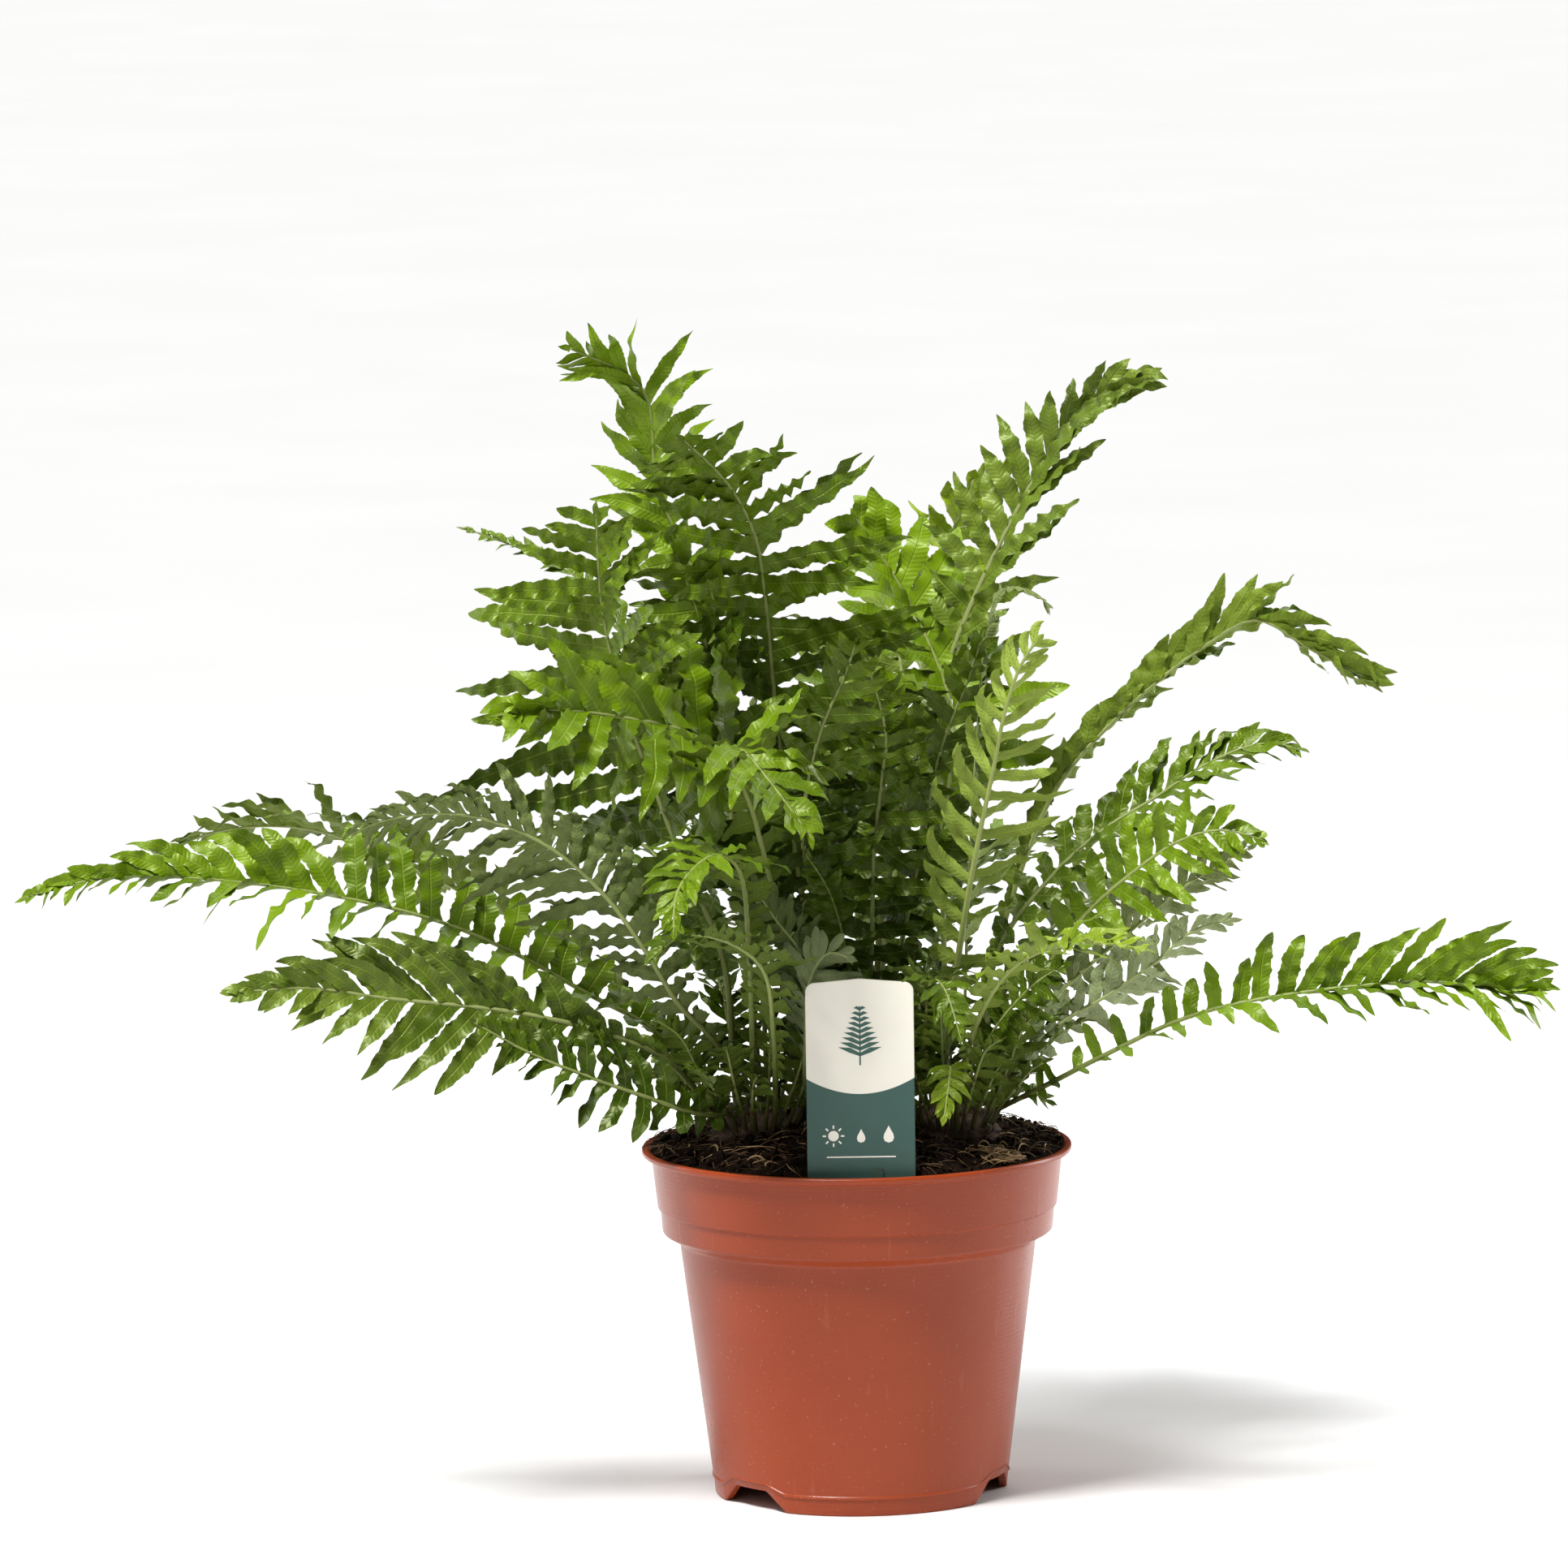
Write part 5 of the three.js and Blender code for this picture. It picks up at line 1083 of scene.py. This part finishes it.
def add_pair(frond, row, rib, luck, place, along, gap, length):
    """A pair of leaflets, one on each hand of the rib."""
    point, ahead, right, up = rib.frame_at(place)
    for hand in (1, -1):
        tilt = math.radians(row["lift"]) + luck.normal(0, 0.19)
        out = right * hand * math.cos(tilt) + up * math.sin(tilt)
        over = up * math.cos(tilt) - right * hand * math.sin(tilt)
        at_foot, at_tip = row.get("right_lean", row["lean"]) if hand > 0 else row["lean"]
        lean = math.radians(at_foot + (at_tip - at_foot) * along ** 1.5 + luck.normal(0, 8))
        under, limp = (row["under"], row["limp"]) if hand == row["low"] else (1, 0)
        own_length = length * luck.uniform(0.82, 1.12) * under
        look = row | dict(share=along, twist=row["twist"] + 0.25 * limp, blind=row["blind"] + limp,
                          droop=row["droop"] + 0.3 * limp)
        half = min(gap * row["fill"] / 2, row["slim"] * length + 1) * (1 - 0.3 * limp)
        nudge = ahead * luck.normal(0, 0.06) * gap + right * hand * 0.7 * rib.half_width(along)
        add_leaflet(frond, luck, point + nudge, ahead, out, over, hand, max(SHORTEST_LEAFLET, own_length),
                    half, lean, look)


def add_foot_scales(frond, rib, luck):
    """Brown scales on the foot of the stalk, thinning out upwards."""
    for i in range(FOOT_SCALES):
        point, ahead, right, up = rib.frame_at(FOOT_SCALES_REACH * luck.uniform(0, 1) ** 1.8)
        angle = luck.uniform(0, 6.28)
        out = right * math.cos(angle) + up * math.sin(angle)
        lean = unit(ahead + out * luck.uniform(0.15, 0.7))
        across = unit(np.cross(out, lean))
        foot = point + out * rib.thick * 0.85
        scale = scale_leaf(foot, lean, across, luck.uniform(2, 5.5), luck.uniform(0.5, 1.1))
        frond.add(scale, (SCALE_SKIN, ONE_FACE), blade=np.zeros((4, 2)), tone=(0.5, 0, 0, 1))


def grow_frond(row, seed):
    """One frond from its row: stalk, pairs of leaflets, the last leaflet at the tip, and scales."""
    luck = np.random.default_rng(seed)
    row = HABIT | row
    rib = Rib(row)
    frond = Heap()
    add_stalk(frond, rib, row["bare"])
    for spot in leaflet_spots(row, rib, luck):
        add_pair(frond, row, rib, luck, *spot)
    point, ahead, right, up = rib.frame_at(rib.length - TIP_ROOM)
    tip_length = 5 + 0.03 * row["longest"]
    add_leaflet(frond, luck, point, right, ahead, up, 1, tip_length, 1.5, math.pi / 2, TIP_LOOK)
    add_foot_scales(frond, rib, luck)
    piece = frond.make(f"frond_leafy_{row['name']}", LEAF_FINISHES[row.get("finish", row["leaf"])], 75)
    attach(piece, "root")
    return piece


for seed, row in enumerate(FRONDS):
    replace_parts(grow_frond(row, 100 + seed), f"frond_{row['name']}")

# Dark inner fronds and a thicket of young shoots, which fill the room between the stalks.
for seed, row in enumerate(INNER_FRONDS):
    grow_frond(row, 200 + seed)
for seed, (crown, degrees, height, reach) in enumerate(SHOOTS):
    luck = np.random.default_rng(300 + seed)
    radius, slant = RINGS["outer"]
    start = np.array([*CROWNS[crown], crown_level(radius) + 7.0])
    compass = spoke_at(math.radians(degrees))
    bend = np.array([-compass[1], compass[0], 0]) * luck.uniform(-0.25, 0.25)
    path = []
    for t in (0.25, 0.6, 1):
        rise = height * (1.5 * t - 0.5 * t**3)
        path.append(start + compass * (radius + 6 + reach * t) + bend * reach * t * t + (0, 0, rise))
    side = np.cross(compass, (0, 0, 1)) + luck.normal(0, 0.4, 3)
    grow_frond(dict(name=f"young_{crown}_{seed}", leaf=("green", "bright", "dark", "dark")[seed % 4],
                    stand=(crown, "outer", degrees), longest=7 + 0.24 * height, bare=0.12, pitch=6.5,
                    twist=0.35, side=side, path=path), 400 + seed)


# The tag: a flat plastic label with rounded shoulders, printed cream above and deep teal below with a plain
# curved border, and pushed into the soil at the front. Its small printed signs are a sprig, a sun and drops.
TAG_OUTLINE = [
    (0, 121, 0.5), (15, 136, 2), (15, 142, 3), (23.5, 148, 3), (23.5, 239, 4), (0, 241, 0), (-23.5, 239, 4),
    (-23.5, 148, 3), (-15, 142, 3), (-15, 136, 2),
]
TAG_THICKNESS = 0.8
TAG_EDGE = 0.18
BORDER_HEIGHT = 190.4
BORDER_BOW = 0.0125
PRINT_HEIGHT = 0.06
SPRIG_STEM = [(-0.35, 203), (0.35, 203), (0.25, 229), (-0.25, 229)]
SPRIG_PAIRS = 9
SPRIG_FOOT = 207
SPRIG_PITCH = 2.5
SPRIG_REACH = 9.5
SPRIG_NARROWS = 0.85
SUN_PLACE = (-12, 172)
SUN_RADIUS = 2.3
SUN_SIDES = 28
SUN_RAYS = 8
SUN_RAY = [(3.2, 0.35), (3.2, -0.35), (4.7, -0.35), (4.7, 0.35)]
DROP = [
    (0, 4.4), (-0.9, 2.6), (-2, 0.6), (-2.3, -1), (-1.7, -2.5), (0, -3.2), (1.7, -2.5), (2.3, -1), (2, 0.6),
    (0.9, 2.6),
]
DROP_PLACES = [((12, 172), 1), ((0, 171.5), 0.8)]
RULE = [(-15, 162.4), (15, 162.4), (15, 163), (-15, 163)]
CREAM_PRINT = (0.78, 0.75, 0.66)
TEAL_PRINT = (0.032, 0.095, 0.075)


def tag_card():
    """Satin card of cream plastic, printed teal below a bowed border."""
    made = Finish("tag_card", 0.38, specular=0.5)
    place = made.axes(made.place)
    across = made.maths("SUBTRACT", place["X"], TAG_CENTRE[0] * MM)
    across = made.maths("MULTIPLY", across, 1 / MM)
    bow = made.maths("MULTIPLY", made.maths("POWER", across, 2.0), BORDER_BOW)
    border = made.maths("ADD", bow, BORDER_HEIGHT)
    above = made.maths("SUBTRACT", made.maths("MULTIPLY", place["Z"], 1 / MM), border)
    tint = made.speckle(30, 3)
    cream = made.blend(made.spread(tint, 0.3, 0.7), (0.80, 0.76, 0.66), (0.84, 0.81, 0.71))
    teal = made.blend(made.spread(tint, 0.3, 0.7), (0.026, 0.078, 0.062), (0.032, 0.092, 0.074))
    colour = made.blend(made.spread(above, -0.12, 0.12), teal, cream)
    grain = made.speckle(1400, 2)
    return made.wear(colour, made.spread(grain, 0.3, 0.7, 0.34, 0.44), made.relief(grain, 0.00002))


def printed(name, colour):
    """A thin coat of ink with the card's own fine grain."""
    made = Finish(name, 0.4, specular=0.5)
    grain = made.speckle(1400, 2)
    ink = made.blend(made.spread(grain, 0.3, 0.7), colour, shade(colour, 1.08))
    return made.wear(ink, None, made.relief(grain, 0.00002))


def flat_face(sheet, outline, depth):
    """One flat face of the tag from an outline of (x, z), at a depth."""
    x0, y0 = TAG_CENTRE
    corners = [sheet.verts.new(((x0 + x) * MM, (y0 + depth) * MM, z * MM)) for x, z in outline]
    return sheet.faces.new(corners)


def tag_piece(name, sheet, finish):
    """One piece of the tag as an object, in one finish."""
    piece = bpy.data.objects.new(name, bpy.data.meshes.new(name))
    sheet.to_mesh(piece.data)
    bpy.context.scene.collection.objects.link(piece)
    piece.data.materials.append(finish)
    return piece


# The card, cut from sheet and with its sharp edges eased.
card = bmesh.new()
face = flat_face(card, round_corners(TAG_OUTLINE, 6), -TAG_THICKNESS / 2)
grown = bmesh.ops.extrude_face_region(card, geom=[face])["geom"]
back = [part for part in grown if isinstance(part, bmesh.types.BMVert)]
bmesh.ops.translate(card, vec=(0, TAG_THICKNESS * MM, 0), verts=back)
bmesh.ops.recalc_face_normals(card, faces=card.faces)
rim = [edge for edge in card.edges if abs(edge.verts[0].co.y - edge.verts[1].co.y) < 1e-9]
bmesh.ops.bevel(card, geom=rim, offset=TAG_EDGE * MM, segments=2, affect="EDGES")
tag = tag_piece("plain_tag", card, tag_card())
smooth_shade(tag, 40)
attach(tag, "root")
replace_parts(tag, "plant_tag")


def print_signs(name, outlines, finish):
    """Flat printed shapes on the tag's face, each a closed outline of (x, z)."""
    ink = bmesh.new()
    for outline in outlines:
        sign = flat_face(ink, outline, -TAG_THICKNESS / 2 - PRINT_HEIGHT)
        sign.normal_update()
        if sign.normal.y > 0:
            sign.normal_flip()
    piece = tag_piece(name, ink, finish)
    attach(piece, "root")


sprig = [SPRIG_STEM]
for i in range(SPRIG_PAIRS):
    foot = SPRIG_FOOT + SPRIG_PITCH * i
    reach = SPRIG_REACH - SPRIG_NARROWS * i
    leaf = [(0.2, 0), (0.5 * reach, 0.3 + 0.14 * reach), (reach, 0.42 * reach),
            (0.45 * reach, 1.3 + 0.26 * reach), (0.2, 1.5)]
    for hand in (1, -1):
        sprig.append([(hand * x, foot + z) for x, z in leaf])
print_signs("tag_sprig", sprig, printed("print_teal", TEAL_PRINT))

sun_x, sun_z = SUN_PLACE
signs = [[]]
for angle in np.linspace(0, 2 * math.pi, SUN_SIDES, endpoint=False):
    signs[0].append((sun_x + SUN_RADIUS * math.cos(angle), sun_z + SUN_RADIUS * math.sin(angle)))
for i in range(SUN_RAYS):
    c, s = math.cos(i * 2 * math.pi / SUN_RAYS), math.sin(i * 2 * math.pi / SUN_RAYS)
    signs.append([(sun_x + away * c - aside * s, sun_z + away * s + aside * c) for away, aside in SUN_RAY])
for (drop_x, drop_z), size in DROP_PLACES:
    signs.append([(drop_x + size * x, drop_z + size * z) for x, z in DROP])
signs.append(RULE)
print_signs("tag_signs", signs, printed("print_cream", CREAM_PRINT))


# The studio: a pale seamless floor, broad soft lights, and a long lens a little above the plant. The key
# light comes from above at the front left, and softer ones fill the sides, the top and the front. Places
# and sizes here are in metres, and the lens's own in millimetres.
FLOOR_HALF = 30
KEY_STRENGTH = 4.9
KEY_ANGLE = 16
KEY_HEADING = (0.32, 0.4, -1)
AMBIENT = 0.05
SOFT_LIGHTS = [
    ("strip_left", (-1.6, 0.75, 0.7), (0, 0, 0.2), (0.5, 1.5), 8),
    ("strip_right", (1.7, 0.85, 0.7), (0, 0, 0.2), (0.5, 1.5), 27),
    ("overhead", (0.15, 0.9, 1.5), (0, 0, 0.35), (1.2, 1.2), 12),
    ("front_fill", (-0.9, -2.4, 1.2), (0, 0, 0.25), (1.6, 1.6), 9),
]
SENSOR_WIDTH = 36
LENS_LENGTH = 260.87
SIGHT = 50
LENS_AIM = (-0.029877, 0, 0.315685)
LENS_AWAY = 5
LENS_DOWN = math.radians(7.5)
LENS_ROLL = math.radians(0.8)


def put_in_studio(name, data):
    """A floor, lamp or camera as an object in the scene."""
    made = bpy.data.objects.new(name, data)
    bpy.context.scene.collection.objects.link(made)
    return made


def turned_along(heading):
    """The turn that points a lamp along a heading."""
    return Vector(heading).to_track_quat("-Z", "Y").to_euler()


def pale_floor():
    """Matt near-white, very slightly clouded."""
    made = Finish("pale_floor", 0.7, specular=0.3)
    cloud = made.spread(made.speckle(3, 2), 0.3, 0.7)
    return made.wear(made.blend(cloud, (0.72, 0.72, 0.715), (0.74, 0.74, 0.735)))


floor_mesh = bpy.data.meshes.new("studio_floor")
corners = [(x * FLOOR_HALF, y * FLOOR_HALF, 0) for x, y in ((-1, -1), (1, -1), (1, 1), (-1, 1))]
floor_mesh.from_pydata(corners, [], [(0, 1, 2, 3)])
floor_mesh.materials.append(pale_floor())
floor = put_in_studio("studio_floor", floor_mesh)

world = bpy.data.worlds.new("studio")
world.use_nodes = True
ambient = world.node_tree.nodes["Background"]
ambient.inputs["Color"].default_value = (1, 1, 1, 1)
ambient.inputs["Strength"].default_value = AMBIENT
bpy.context.scene.world = world
bpy.context.scene.view_settings.view_transform = "Standard"

key = put_in_studio("broad_key", bpy.data.lights.new("broad_key", "SUN"))
key.data.energy = KEY_STRENGTH
key.data.angle = math.radians(KEY_ANGLE)
key.rotation_euler = turned_along(KEY_HEADING)
for name, place, aim, (width, height), power in SOFT_LIGHTS:
    lamp = bpy.data.lights.new(name, "AREA")
    lamp.shape = "RECTANGLE"
    lamp.size = width
    lamp.size_y = height
    lamp.energy = power
    light = put_in_studio(name, lamp)
    light.location = place
    light.rotation_euler = turned_along(Vector(aim) - Vector(place))

lens = bpy.data.cameras.new("long_lens")
lens.sensor_width = SENSOR_WIDTH
lens.lens = LENS_LENGTH
lens.clip_end = SIGHT
camera = put_in_studio("long_lens", lens)
back = Vector((0, -math.cos(LENS_DOWN), math.sin(LENS_DOWN)))
level = Vector((1, 0, 0))
rise = back.cross(level)
across = level * math.cos(LENS_ROLL) - rise * math.sin(LENS_ROLL)
over = level * math.sin(LENS_ROLL) + rise * math.cos(LENS_ROLL)
tripod = Matrix.Translation(Vector(LENS_AIM) + back * LENS_AWAY)
camera.matrix_world = tripod @ Matrix((across, over, back)).transposed().to_4x4()
bpy.context.scene.camera = camera
